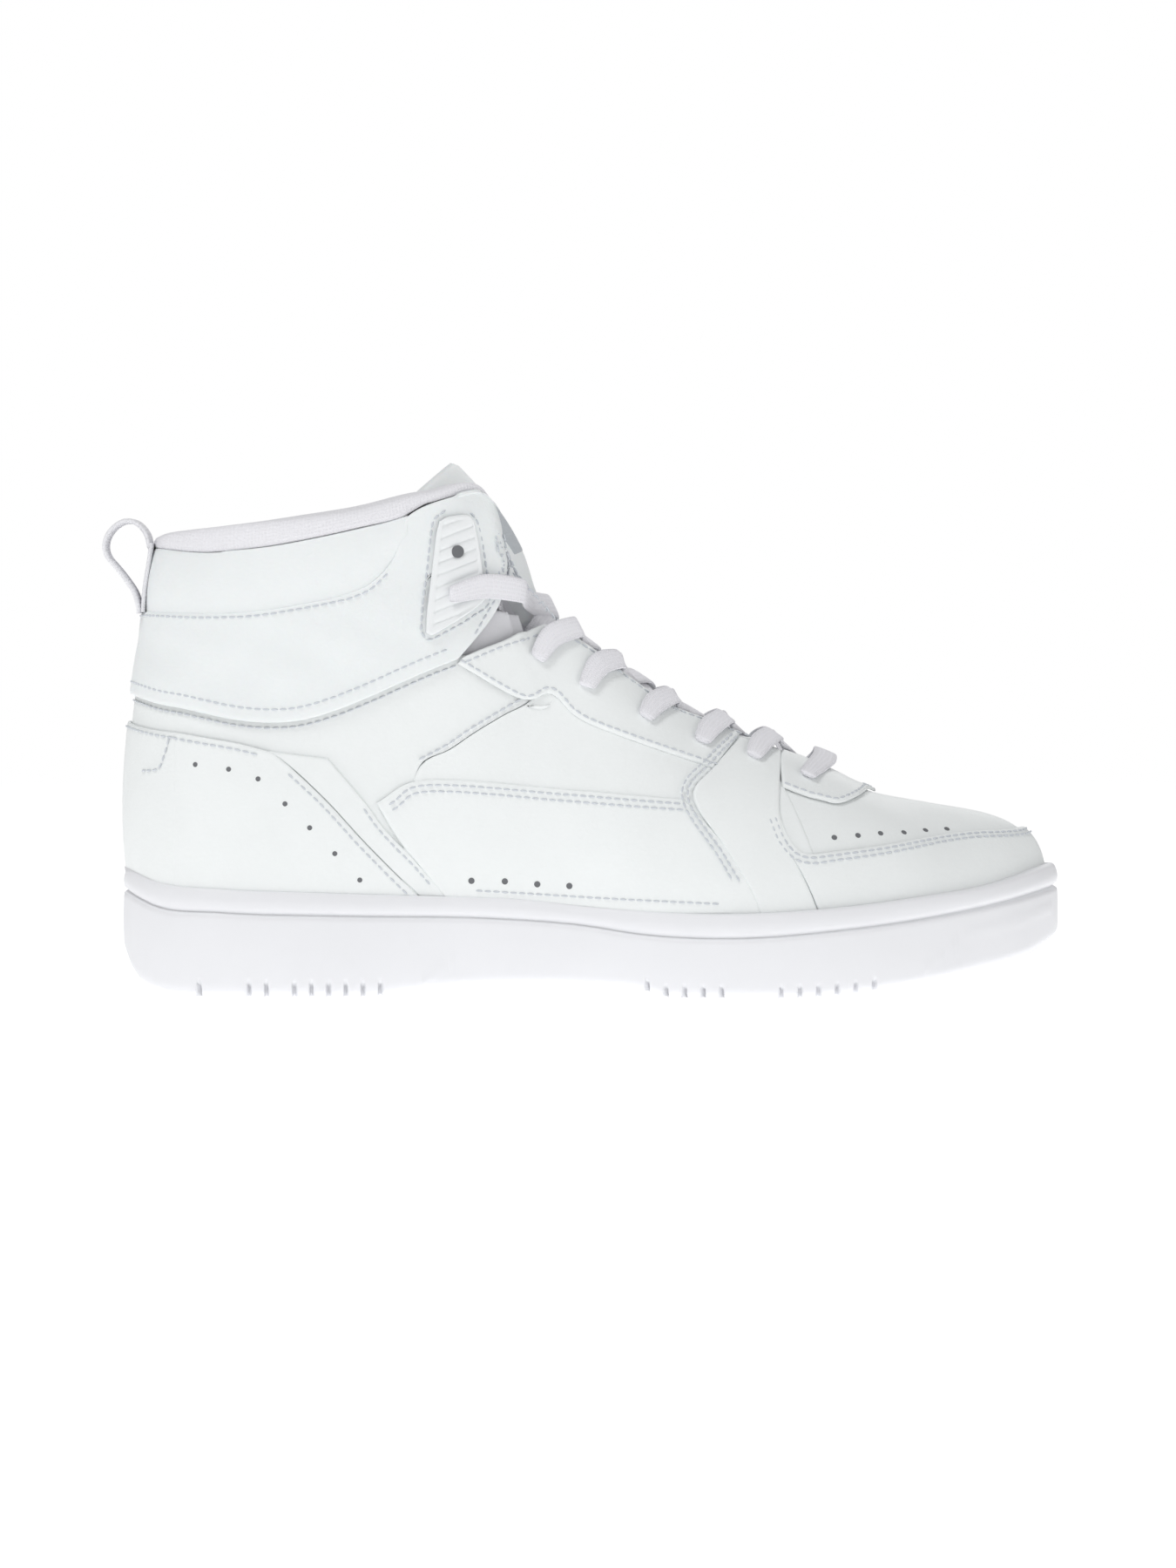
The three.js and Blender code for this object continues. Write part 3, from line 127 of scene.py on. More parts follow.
medial_rails, lateral_rails = rail_points(MEDIAL), rail_points(LATERAL)
RAILS = np.concatenate([medial_rails, lateral_rails[LAST_STATION - 1:0:-1]])
print("stations round the shoe", len(RAILS))


# %% [markdown]
# ## The guide surface
# t runs round the shoe: 0 at the heel, 0.5 at the toe, positive on the medial side, negative on the
# lateral one. v climbs from the feather line to the top line.

# %% Guide surface, its normal, and the way back from a side view
def surface(t, v):
    """Points S(t, v): a cubic Bezier curve in v whose four control points glide in t along smooth
    closed curves through the stations (Catmull-Rom)."""
    t, v = np.broadcast_arrays(np.asarray(t, float), np.asarray(v, float))
    along = (t % 1) * TURN
    i = np.floor(along).astype(int)
    f = (along - i)[..., None, None]
    p0, p1, p2, p3 = (RAILS[(i + k) % TURN] for k in (-1, 0, 1, 2))
    m1, m2 = (p2 - p0) / 2, (p3 - p1) / 2
    rails = ((1 + 2 * f) * (1 - f) ** 2 * p1 + f * (1 - f) ** 2 * m1
             + f * f * (3 - 2 * f) * p2 + f * f * (f - 1) * m2)
    w = 1 - v
    weights = np.stack([w ** 3, 3 * v * w * w, 3 * v * v * w, v ** 3], axis=-1)
    return (rails * weights[..., None]).sum(axis=-2)


def unit(a):
    """Vectors of length one."""
    return a / np.maximum(np.linalg.norm(a, axis=-1, keepdims=True), 1e-12)


def normal(t, v):
    """Unit normal, out of the shoe: the cross product of the two directions of the surface."""
    d = 0.002
    t, v = np.broadcast_arrays(np.asarray(t, float), np.asarray(v, float))
    inside = np.minimum(v, 0.985)
    along = surface(t + d, inside) - surface(t - d, inside)
    n = np.cross(along, surface(t, inside + d) - surface(t, inside - d))
    middle = (v > 0.9999) & (np.abs(surface(t, 1)[..., 1]) < 1e-6)
    n[..., 1] = np.where(middle, 0, n[..., 1])
    return unit(n)


def shell(t, v, out):
    """A point at a distance out from the guide surface."""
    return surface(t, v) + normal(t, v) * np.asarray(out, float)[..., None]


SEARCH_U, SEARCH_V = [a.ravel() for a in np.meshgrid(np.linspace(0, 0.5, 85), np.linspace(0, 1, 41))]
SEARCH = {side: surface(-side * SEARCH_U, SEARCH_V) for side in (MEDIAL, LATERAL)}


def locate(side, points):
    """Places (t, v) seen at [x, z] from the side: the nearest of a net of samples, then Newton
    steps on both coordinates at once."""
    goal = np.asarray(points, float)
    sample = SEARCH[side]
    far = np.hypot(sample[:, 0] - goal[:, :1], sample[:, 2] - goal[:, 1:2])
    best = far.argmin(axis=1)
    u, v = SEARCH_U[best].copy(), SEARCH_V[best].copy()
    d = 1e-4
    for _ in range(14):
        p = surface(-side * u, v)
        pu = (surface(-side * (u + d), v) - p) / d
        pv = (surface(-side * u, v + d) - p) / d
        ex, ez = goal[:, 0] - p[:, 0], goal[:, 1] - p[:, 2]
        det = pu[:, 0] * pv[:, 2] - pv[:, 0] * pu[:, 2]
        det = np.where(np.abs(det) < 1, np.inf, det)
        u = np.clip(u + np.clip((ex * pv[:, 2] - ez * pv[:, 0]) / det, -0.04, 0.04), 0, 0.5)
        v = np.clip(v + np.clip((ez * pu[:, 0] - ex * pu[:, 2]) / det, -0.04, 0.04), 0, 1)
    return np.column_stack([-side * u, v])


def at_height(t, z):
    """Places (t, v) on the meridian t at a height z, found by halving."""
    t = np.asarray(t, float)
    low, high = np.zeros_like(t), np.ones_like(t)
    for _ in range(30):
        middle = (low + high) / 2
        below = surface(t, middle)[..., 2] < z
        low, high = np.where(below, middle, low), np.where(below, high, middle)
    return np.stack([t, (low + high) / 2], axis=-1)


def feather(x):
    """Medial t of the feather line at a given x, found by halving."""
    low, high = 0.0, 0.5
    for _ in range(30):
        middle = (low + high) / 2
        low, high = (middle, high) if surface(middle, 0)[0] < x else (low, middle)
    return low


def ramp(value, start, end):
    """0 before start, 1 after end, and an S-shaped rise between."""
    share = np.clip((np.asarray(value, float) - start) / (end - start), 0, 1)
    return share * share * (3 - 2 * share)


print("height of the top line at the ankle, mm", round(float(surface(0.2, 1)[2]), 1))

# %% [markdown]
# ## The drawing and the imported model
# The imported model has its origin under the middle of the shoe. The sole's box says how far the
# drawing above is from it.

# %% Fit the drawing to the frame
SOLE_MARGIN = 5.6
OUTLINE_STEPS = 112


def sole_edge(t, out):
    """Plan of the sole: the feather line moved outwards, square to its own direction."""
    d = 0.002
    p = surface(t, 0)
    along = surface(t + d, 0) - surface(t - d, 0)
    side = unit(np.stack([along[..., 1], -along[..., 0], 0 * along[..., 0]], axis=-1))
    return p + side * np.asarray(out, float)[..., None]


sole_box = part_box("outsole_cup")
own = sole_edge(np.arange(OUTLINE_STEPS) / OUTLINE_STEPS, SOLE_MARGIN)
SHIFT = np.array([sole_box[0][0] * 1000 - own[:, 0].min(),
                  (sole_box[0][1] + sole_box[1][1]) * 500 - (own[:, 1].min() + own[:, 1].max()) / 2, 0])
print("drawing to frame, mm", SHIFT.round(2))


# %% [markdown]
# ## Meshes from grids
# A panel of leather is a grid of points, and its thickness comes from a Solidify modifier, which
# also closes the edges. Extruding an outline would give a flat panel, so the grid is laid on the
# guide surface instead.

# %% Mesh helpers
def to_metres(points):
    """Shoe millimetres to frame metres."""
    return (np.asarray(points, float).reshape(-1, 3) + SHIFT) / 1000


def make_object(name, points, faces, material, uv=None, smooth=True):
    """One mesh object at the origin, from an array of points (mm) and its faces, which are an array
    or, where their sizes differ, a list."""
    mesh = bpy.data.meshes.new(name)
    face_list = faces if isinstance(faces, list) else faces.tolist()
    mesh.from_pydata(to_metres(points).tolist(), [], face_list)
    mesh.polygons.foreach_set("use_smooth", np.full(len(mesh.polygons), smooth))
    if uv is not None:
        layer = mesh.uv_layers.new(name="UVMap")
        corner = np.empty(len(mesh.loops), int)
        mesh.loops.foreach_get("vertex_index", corner)
        layer.data.foreach_set("uv", np.asarray(uv, float).reshape(-1, 2)[corner].ravel())
    obj = bpy.data.objects.new(name, mesh)
    bpy.context.scene.collection.objects.link(obj)
    mesh.materials.append(material)
    mesh.update()
    return obj


def grid_faces(n, m, start=0, loop=False):
    """Faces of an n by m grid of points, numbered row by row; loop closes the first direction."""
    rows = n if loop else n - 1
    i, j = [a.ravel() for a in np.meshgrid(np.arange(rows), np.arange(m - 1), indexing="ij")]
    k = (i + 1) % n
    return np.column_stack([i * m + j, k * m + j, k * m + j + 1, i * m + j + 1]) + start


def grid_uv(points):
    """Real lengths along both directions of a grid, in mm, as UV."""
    u = np.cumsum(np.linalg.norm(np.diff(points, axis=0, prepend=points[:1]), axis=2), axis=0)
    v = np.cumsum(np.linalg.norm(np.diff(points, axis=1, prepend=points[:, :1]), axis=2), axis=1)
    return np.stack([np.broadcast_to(u.mean(axis=1)[:, None], u.shape), v], axis=-1)


def weld(obj, distance=1e-5):
    """Merges doubled points, where the two sides of a folded grid meet."""
    mesh = bmesh.new()
    mesh.from_mesh(obj.data)
    bmesh.ops.remove_doubles(mesh, verts=mesh.verts, dist=distance)
    mesh.to_mesh(obj.data)
    mesh.free()


def sheet(name, points, material, thickness, uv=None):
    """A grid of outer points [n, m, 3] made solid inwards."""
    n, m = points.shape[:2]
    obj = make_object(name, points, grid_faces(n, m), material, grid_uv(points) if uv is None else uv)
    solid = obj.modifiers.new("thickness", "SOLIDIFY")
    solid.thickness = thickness / 1000
    solid.offset = -1
    solid.use_even_offset = False
    return obj


def place(obj, body, slot, *nodes):
    """Says which body a piece moves with and the plain solids it stands for, which it hides. slot, the name of
    its finish, is not used.
    """
    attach(obj, body)
    if nodes:
        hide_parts(*nodes)
    return obj


print("mesh helpers ready")

# %% [markdown]
# ## Finishes
# Every finish is mixed from layers of noise at real sizes. Leather has pebbles a little under a
# millimetre across and a slower waviness. Rubber has a fine matt skin, and knit, webbing and lace
# have a weave that follows the piece's own lengths. Painted images would do as well, but they
# would have a fixed resolution and need unwrapping.

# %% Finishes
def finish_material(name, color, rough, layers, vary=0.03, sheen=0.0, soft=0.0, coat=0.0):
    """A surface with small changes of colour and roughness, and bumps. Each layer is
    (kind, size in mm, depth in mm). 'weave' and 'rib' follow the piece's UV, the rest its place."""
    mat = bpy.data.materials.new(name)
    mat.use_nodes = True
    nodes, links = mat.node_tree.nodes, mat.node_tree.links
    shader = nodes["Principled BSDF"]
    where = nodes.new("ShaderNodeTexCoord")
    blotch = nodes.new("ShaderNodeTexNoise")
    blotch.inputs["Scale"].default_value = 38
    blotch.inputs["Detail"].default_value = 5
    links.new(where.outputs["Object"], blotch.inputs["Vector"])
    mix = nodes.new("ShaderNodeMixRGB")
    mix.inputs[1].default_value = [c * (1 - vary) for c in color] + [1]
    mix.inputs[2].default_value = [min(1, c * (1 + vary)) for c in color] + [1]
    links.new(blotch.outputs["Fac"], mix.inputs[0])
    links.new(mix.outputs[0], shader.inputs["Base Color"])
    worn = nodes.new("ShaderNodeMapRange")
    worn.inputs["To Min"].default_value = rough - 0.07
    worn.inputs["To Max"].default_value = min(1, rough + 0.07)
    links.new(blotch.outputs["Fac"], worn.inputs["Value"])
    links.new(worn.outputs["Result"], shader.inputs["Roughness"])
    shader.inputs["Sheen Weight"].default_value = sheen
    shader.inputs["Subsurface Weight"].default_value = soft
    shader.inputs["Subsurface Scale"].default_value = 0.002
    shader.inputs["Coat Weight"].default_value = coat
    last = None
    for kind, size, depth in layers:
        if kind == "pebble":
            tex = nodes.new("ShaderNodeTexVoronoi")
            tex.feature = "SMOOTH_F1"
            tex.inputs["Scale"].default_value = 1000 / size
            links.new(where.outputs["Object"], tex.inputs["Vector"])
            height = tex.outputs["Distance"]
        elif kind == "noise":
            tex = nodes.new("ShaderNodeTexNoise")
            tex.inputs["Scale"].default_value = 1000 / size
            tex.inputs["Detail"].default_value = 4
            links.new(where.outputs["Object"], tex.inputs["Vector"])
            height = tex.outputs["Fac"]
        else:
            waves = []
            for direction in ("X", "Y") if kind == "weave" else ("X",):
                wave = nodes.new("ShaderNodeTexWave")
                wave.bands_direction = direction
                wave.inputs["Scale"].default_value = 0.314 / size
                wave.inputs["Distortion"].default_value = 0.25
                links.new(where.outputs["UV"], wave.inputs["Vector"])
                waves.append(wave.outputs["Fac"])
            height = waves[0]
            if len(waves) > 1:
                both = nodes.new("ShaderNodeMath")
                both.operation = "MAXIMUM"
                links.new(waves[0], both.inputs[0])
                links.new(waves[1], both.inputs[1])
                height = both.outputs[0]
        bump = nodes.new("ShaderNodeBump")
        bump.inputs["Strength"].default_value = 0.7
        bump.inputs["Distance"].default_value = depth / 1000
        bump.invert = kind == "pebble"
        links.new(height, bump.inputs["Height"])
        if last is not None:
            links.new(last, bump.inputs["Normal"])
        last = bump.outputs["Normal"]
    links.new(last, shader.inputs["Normal"])
    return mat


LEATHER = finish_material("white leather", (0.86, 0.885, 0.885), 0.46,
                          [("noise", 16, 0.5), ("pebble", 0.9, 0.1), ("noise", 0.4, 0.03)])
SOFT_LEATHER = finish_material("soft leather", (0.85, 0.875, 0.88), 0.52,
                               [("noise", 9, 0.7), ("pebble", 0.8, 0.1)], soft=0.03)
RUBBER = finish_material("white rubber", (0.83, 0.835, 0.86), 0.5,
                         [("noise", 0.5, 0.03), ("noise", 30, 0.12)])
FOAM = finish_material("foam", (0.8, 0.8, 0.8), 0.9, [("noise", 0.8, 0.1)])
BOARD = finish_material("board", (0.72, 0.7, 0.66), 0.9, [("noise", 0.6, 0.08)])
TEXTILE = finish_material("lining textile", (0.78, 0.78, 0.81), 0.9, [("noise", 0.9, 0.15)], sheen=0.2)
KNIT = finish_material("collar knit", (0.83, 0.825, 0.86), 0.88,
                       [("weave", 1.1, 0.22), ("noise", 0.5, 0.06)], sheen=0.25)
LACE = finish_material("lace weave", (0.85, 0.845, 0.885), 0.82,
                       [("weave", 0.75, 0.2), ("noise", 0.3, 0.04)], sheen=0.2)
WEBBING = finish_material("tab webbing", (0.83, 0.83, 0.86), 0.82,
                          [("rib", 1.3, 0.15), ("noise", 0.4, 0.06)], sheen=0.2)
# Painted shade: this grey stands for the shade around the sunk stitches.
THREAD_PAINTED_SHADE = finish_material("thread with painted shade", (0.62, 0.65, 0.69), 0.6, [("noise", 0.3, 0.05)], sheen=0.1)
PLASTIC = finish_material("aglet plastic", (0.85, 0.87, 0.88), 0.22, [("noise", 3, 0.05)], coat=0.3)
MOULDED = finish_material("moulded plate", (0.85, 0.87, 0.88), 0.42, [("noise", 0.5, 0.03)])
GREY = finish_material("grey patch", (0.5, 0.53, 0.56), 0.6, [("weave", 0.6, 0.08), ("noise", 0.5, 0.03)])
# Painted shade: near black for the shadow inside a punched hole.
HOLE_PAINTED_SHADE = finish_material("painted shade inside a hole", (0.16, 0.165, 0.175), 0.9, [("noise", 0.4, 0.02)])
print("finishes", len(bpy.data.materials))


# %% [markdown]
# ## Cutting a panel
# Panels are cut from hides along lines that the pattern maker draws. Each line here is drawn in
# the side view and laid on the guide surface, and the panel is stretched between its four lines.
# Its edges turn down over the last millimetre, as skived and folded leather does.

# %% Panels
EDGE_ROLL = 1.0
# A panel's skin is half its nominal thickness, and its edge turns down this share of that thickness,
# counted up to a limit, so that the edge ends near the layer below.
SKIN_SHARE = 0.5
EDGE_DROP, EDGE_DROP_LIMIT = 0.85, 1.3


def glide(points, n):
    """n points along a smooth curve through the given ones, evenly spaced."""
    p = np.asarray(points, float)
    if len(p) == 1:
        return np.repeat(p, n, axis=0)
    padded = np.vstack([2 * p[0] - p[1], p, 2 * p[-1] - p[-2]])
    fine = []
    for i in range(len(p) - 1):
        f = np.linspace(0, 1, 24, endpoint=i == len(p) - 2)[:, None]
        a, b, c, d = padded[i:i + 4]
        fine.append(0.5 * (2 * b + (c - a) * f + (2 * a - 5 * b + 4 * c - d) * f ** 2
                           + (3 * b - a - 3 * c + d) * f ** 3))
    fine = np.vstack(fine)
    run = np.concatenate([[0], np.cumsum(np.linalg.norm(np.diff(fine, axis=0), axis=1))])
    want = np.linspace(0, run[-1], n)
    return np.column_stack([np.interp(want, run, fine[:, k]) for k in range(fine.shape[1])])


def on_side(side, line, n=40):
    """A line of the side view as places (t, v)."""
    return locate(side, glide(line, n))


def length_of(line):
    """Length in mm of a line of places."""
    return np.linalg.norm(np.diff(surface(line[:, 0], line[:, 1]), axis=0), axis=1).sum()


def steps_across(size, step, roll=EDGE_ROLL):
    """Places 0..1 across a panel: close together in the rolled edge, even in between."""
    edge = np.array([0, 0.12, 0.35, 0.7, 1.0, 1.8]) * roll / size
    edge = edge[edge < 0.4]
    n = max(2, int(size / step))
    middle = np.linspace(edge[-1], 1 - edge[-1], n + 1)[1:-1]
    return np.concatenate([edge, middle, 1 - edge[::-1]])


def read(line, share):
    """Places at shares 0..1 of a line's length."""
    p = surface(line[:, 0], line[:, 1])
    run = np.concatenate([[0], np.cumsum(np.linalg.norm(np.diff(p, axis=0), axis=1))])
    run = run / run[-1] if run[-1] > 0 else np.linspace(0, 1, len(line))
    return np.column_stack([np.interp(share, run, line[:, k]) for k in range(2)])


def coons(low, high, rear, front, a, b, reach):
    """Places [a, b] between four lines: a straight blend from low to high, plus what each side
    line strays from straight, which dies out over a share 'reach' of the width."""
    lo, hi, re, fr = read(low, a), read(high, a), read(rear, b), read(front, b)
    a, b = a[:, None, None], b[None, :, None]
    stray_rear = re[None] - (1 - b) * low[0] - b * high[0]
    stray_front = fr[None] - (1 - b) * low[-1] - b * high[-1]
    return ((1 - b) * lo[:, None] + b * hi[:, None] + np.maximum(0, 1 - a / reach) * stray_rear
            + np.maximum(0, 1 - (1 - a) / reach) * stray_front)


def panel(name, lines, slot_name, material, node, out=0.0, thick=1.2, step=2.2, roll=EDGE_ROLL,
          relief=None, reach=1.0):
    """A panel of the shoe body between four lines of places, lifted by out, which stands for the
    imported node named. relief(points, a, b) adds to the lift."""
    low, high, rear, front = lines
    wide = max(length_of(low), length_of(high), 4)
    tall = max(length_of(rear), length_of(front), 4)
    a, b = steps_across(wide, step), steps_across(tall, step)
    places = coons(low, high, rear, front, a, b, reach)
    t, v = places[..., 0], np.clip(places[..., 1], 0, 1)
    p = surface(t, v)
    length_a = np.linalg.norm(np.diff(p, axis=0), axis=2).sum(axis=0)[None]
    length_b = np.linalg.norm(np.diff(p, axis=1), axis=2).sum(axis=1)[:, None]
    edge = np.minimum(np.minimum(a, 1 - a)[:, None] * length_a,
                      np.minimum(b, 1 - b)[None] * length_b)
    rise = np.sqrt(1 - (1 - np.clip(edge / roll, 0, 1)) ** 2)
    lift = out + (rise - 1) * min(thick, EDGE_DROP_LIMIT) * EDGE_DROP
    if relief is not None:
        lift = lift + relief(p, a[:, None], b[None])
    obj = sheet(name, p + normal(t, v) * lift[..., None], material, thick * SKIN_SHARE)
    return place(obj, "shoe", slot_name, *([node] if node else []))


def side_lines(side, bottom, top, rear=(), front=()):
    """Four lines of places from side-view lines, turned end for end on the lateral side."""
    bottom, top = list(bottom), list(top)
    rear = on_side(side, [bottom[0], *rear, top[0]])
    front = on_side(side, [bottom[-1], *front, top[-1]])
    bottom, top = on_side(side, bottom), on_side(side, top)
    if side == MEDIAL:
        return bottom, top, rear, front
    return bottom[::-1], top[::-1], front, rear


def heel_lines(bottom, top, heel_low, heel_high, front=()):
    """Four lines of places for a piece that wraps the heel."""
    def both(line, z):
        """The line from the lateral end round the heel, at height z there, to the medial end."""
        start = at_height(0.0, z)[None]
        if len(line) > 1:
            far, near = (on_side(side, line) for side in (LATERAL, MEDIAL))
            return glide(np.vstack([far[::-4], start, near[::4]]), 90)
        return np.vstack([locate(LATERAL, line), start, locate(MEDIAL, line)])

    low, high = both(bottom, heel_low), both(top, heel_high)
    rear = np.vstack([low[:1], *([locate(LATERAL, front)] if len(front) else []), high[:1]])
    ahead = np.vstack([low[-1:], *([locate(MEDIAL, front)] if len(front) else []), high[-1:]])
    return low, high, glide(rear, 40), glide(ahead, 40)


# Stitches are gathered here and made all at once.
STITCHES = []


def sew(line, out, spacing=2.7, shift=0.0):
    """A row of stitches along places (t, v), moved sideways by shift mm, at a height out."""
    p = shell(line[:, 0], line[:, 1], np.full(len(line), out))
    n = normal(line[:, 0], line[:, 1])
    along = unit(np.gradient(p, axis=0))
    p = p + np.cross(n, along) * shift
    run = np.concatenate([[0], np.cumsum(np.linalg.norm(np.diff(p, axis=0), axis=1))])
    want = np.arange(spacing / 2, run[-1], spacing)

    def pick(values):
        return np.column_stack([np.interp(want, run, values[:, k]) for k in range(3)])

    STITCHES.append((pick(p), unit(pick(along)), unit(pick(n)), spacing))


def sew_side(line, out=1.3, spacing=2.7, shift=0.0):
    """The same row on both sides, from a side-view line; a positive shift moves it up on both."""
    for side in (MEDIAL, LATERAL):
        sew(on_side(side, line, 120), out, spacing, shift if side == MEDIAL else -shift)


# Punched holes are gathered in the same way.
HOLES = []


def punch(line_points, radius, out):
    """Places for the dark discs of painted shade that show punched holes, on both sides, at side-view points.
    """
    for side in (MEDIAL, LATERAL):
        for t, v in locate(side, line_points):
            HOLES.append((shell(t, v, out), normal(t, v), radius))


print("panel tools ready")

# %% [markdown]
# ## Cup sole
# The sole is moulded in one piece: a rubber cup with a rounded lip above a groove, and thin slots
# cut in from the bottom edge. It is a stack of loops round the shoe. The slots and the raised lines
# are moves of the same grid, so the wall stays one closed skin.

# %% Cup sole
SOLE_COLUMNS = 2200
HEEL_SIPES = 50 + 5.4 * np.arange(1, 7)
FOREFOOT_SIPES = np.concatenate([166.3 + 5.8 * np.arange(5), 208.2 + 5.85 * np.arange(6)])
SIPES = np.concatenate([[25.3, 41.1, 46.6], HEEL_SIPES, FOREFOOT_SIPES])
SIPE_HALF, SIPE_TALL, SIPE_DEEP = 0.6, 3.2, 3.6
RELIEF_HIGH = 0.35
FLOOR_THICK = 5
RELIEF_LINES = [[[253, 9], [261.5, 15], [265.7, 19.4], [285, 23.9], [294, 27.5]],
                [[96.3, 5.3], [105, 10]]]


def sipe(x, above):
    """How deep the slots are at x, for a point that far above the bottom edge."""
    near = np.abs(x[..., None] - SIPES).min(axis=-1)
    beside = ramp(near, SIPE_HALF * 0.6, SIPE_HALF * 1.3)
    return SIPE_DEEP * (1 - beside) * (1 - ramp(above, SIPE_TALL, SIPE_TALL + 0.5))


def relief_lines(x, z):
    """How far the skin is raised near each drawn relief line."""
    rise = np.zeros_like(x)
    for line in RELIEF_LINES:
        fine = glide(line, 60)
        far = np.hypot(x[..., None] - fine[:, 0], z[..., None] - fine[:, 1]).min(axis=-1)
        rise += RELIEF_HIGH * (1 - ramp(far, 0.3, 1.0))
    return rise


t_round = np.arange(SOLE_COLUMNS) / SOLE_COLUMNS
foot_line = sole_edge(t_round, 0)
x_foot = sole_edge(t_round, SOLE_MARGIN)[:, 0]
ground, groove, lip = (line_at(line, x_foot) for line in (GROUND, GROOVE, LIP))
# Each row of the wall: how far out of the feather line, and its height.
wall = [(SOLE_MARGIN - 3.6, ground), (SOLE_MARGIN - 2.2, ground + 0.15),
        (SOLE_MARGIN - 1.0, ground + 0.8), (SOLE_MARGIN - 0.3, ground + 1.8)]
wall += [(SOLE_MARGIN + 0.25 * math.sin(math.pi * s), ground + 1.8 + s * (groove - 3.2 - ground))
         for s in (0.06, 0.12, 0.2, 0.3, 0.42, 0.54, 0.66, 0.78, 0.9, 0.96)]
wall += [(SOLE_MARGIN - 0.1, groove - 1.0), (SOLE_MARGIN - 0.7, groove - 0.45), (SOLE_MARGIN - 1.5, groove),
         (SOLE_MARGIN - 0.9, groove + 0.5), (SOLE_MARGIN - 0.15, groove + 1.1)]
wall += [(SOLE_MARGIN - 0.15 + 0.45 * math.sin(math.pi * s) - 0.5 * s,
          groove + 1.1 + s * (lip - groove - 2.4)) for s in (0.2, 0.4, 0.6, 0.8, 1.0)]
wall += [(SOLE_MARGIN - 1.0, lip - 0.6), (SOLE_MARGIN - 1.6, lip - 0.15), (SOLE_MARGIN - 2.4, lip)]
rows = []
for out, z in wall:
    p = sole_edge(t_round, np.full(SOLE_COLUMNS, out))
    p[:, 2] = z
    rows.append(p)
rows = np.array(rows)
side_way = unit((rows[8] - foot_line) * [1, 1, 0])
above_ground = rows[..., 2] - ground
cut = sipe(rows[..., 0], above_ground) * ramp(above_ground, -1, 0)
rows += side_way * (relief_lines(rows[..., 0], rows[..., 2]) - cut)[..., None]
# Inside the lip the wall hugs the upper, then goes down to the cup's floor.
inside = []
for share, gap in ((0.0, 0.35), (0.35, 0.3), (0.75, 0.3), (1.0, 0.3)):
    z = lip - 0.3 + share * (np.interp(x_foot, FOOTBED[:, 0], FOOTBED[:, 1]) + 0.6 - lip)
    places = at_height(t_round, z)
    hug = shell(places[:, 0], places[:, 1], np.full(SOLE_COLUMNS, 1.4 + gap))
    hug[:, 2] = z
    inside.append(hug)
floor_edge = sole_edge(t_round, np.full(SOLE_COLUMNS, -0.2))
floor_edge[:, 2] = line_at(GROUND, floor_edge[:, 0]) + FLOOR_THICK
spine = np.column_stack([np.clip(x_foot, 30, 262), 0 * x_foot, 0 * x_foot])


def to_spine(edge, shares, height):
    """Rows from an edge loop in to the middle line of the sole."""
    out = []
    for share in shares:
        p = edge * (1 - share) + spine * share
        p[:, 2] = height(p[:, 0])
        out.append(p)
    return out


bottom = to_spine(rows[0], (1.0, 0.8, 0.6, 0.4, 0.2, 0.06), lambda x: line_at(GROUND, x))
floor = to_spine(floor_edge, (0.0, 0.3, 0.65, 1.0), lambda x: line_at(GROUND, x) + FLOOR_THICK)
sole_grid = np.array([*bottom, *rows, *inside, *floor]).transpose(1, 0, 2)
sole_faces = grid_faces(SOLE_COLUMNS, sole_grid.shape[1], loop=True)
sole = make_object("cup_sole", sole_grid[::-1], sole_faces, RUBBER)
weld(sole)
place(sole, "shoe", "sole_rubber", "outsole_cup")
print("cup sole faces", len(sole.data.polygons))

# %% [markdown]
# ## Leather upper
# The base layer is quarters and a vamp. Over it lie the heel overlay, side strap, side panel,
# saddle, eyestay, throat stay and mudguard, and a soft ankle panel under a collar panel. The edges
# of the overlays reach down to the base, except the ankle panel's, which stays 0.3 mm off.

# %% Seam lines, in the side view
COLLAR_SEAM = [[27, 120.6], [43.6, 121.3], [65.8, 125.2], [76.9, 128.5], [83.8, 134.4],
               [86.6, 138.5], [89.2, 149.5]]
KNIT_EDGE = [[10.3, 141.3], [27, 139.9], [43.6, 141.3], [54.7, 143], [65.8, 145.2], [76.9, 147.7],
             [88.8, 150.6]]
ANKLE_FRONT = [[116.4, 118], [119.8, 124], [120.9, 129], [120, 138.5], [117.4, 149]]
ANKLE_HEM = [[15.8, 91.3], [27, 89.1], [38, 86.9], [49, 86.2], [60, 87.4], [71, 91.1], [82.4, 95.8],
             [93.6, 101], [104.7, 105.2], [113.3, 110.5]]
QUARTER_SEAM = [[95.2, 73], [104, 77.6], [112, 83], [121, 88.4], [129.6, 93.3]]
THROAT = [[136.2, 116.6], [146.9, 110.2], [158, 101.6], [172, 91.6], [185.2, 86.2], [203, 79.2]]
EYESTAY_HEM = [[106.4, 104.8], [126.9, 93.3], [135.7, 95.4], [142.4, 89.1], [149.1, 85.2], [165.7, 78.8],
               [187, 71.4]]
HEEL_TOP = [[15.8, 83.6], [27, 81.6], [38, 79.7], [48.6, 76.9]]
HEEL_FRONT = [[54.7, 71.9], [65.8, 61.3], [76.9, 49.1], [88, 37.8], [93.6, 32.5]]
SADDLE_REAR = [[195.7, 79.9], [187, 71.6], [180.4, 62.5], [190.6, 46.8], [196, 38]]
SIDE_TOP = [[97, 68.4], [140, 65.4], [178, 62]]
STRAP_FRONT = [[78.3, 60.4], [82.5, 54.4], [88, 48.3], [93.6, 42.7], [99.1, 36.4], [103.3, 32.5]]
EYELETS = [[216.5, 68.2], [199.6, 74.4], [183.2, 79.3], [165.2, 87.3], [147.1, 97.6], [131.6, 106.6],
           [104.4, 126.6], [105.5, 139.9]]
OVERLAY_OUT, PLATE_OUT = 1.5, 3.7
VAMP_START = 9.84 / TURN
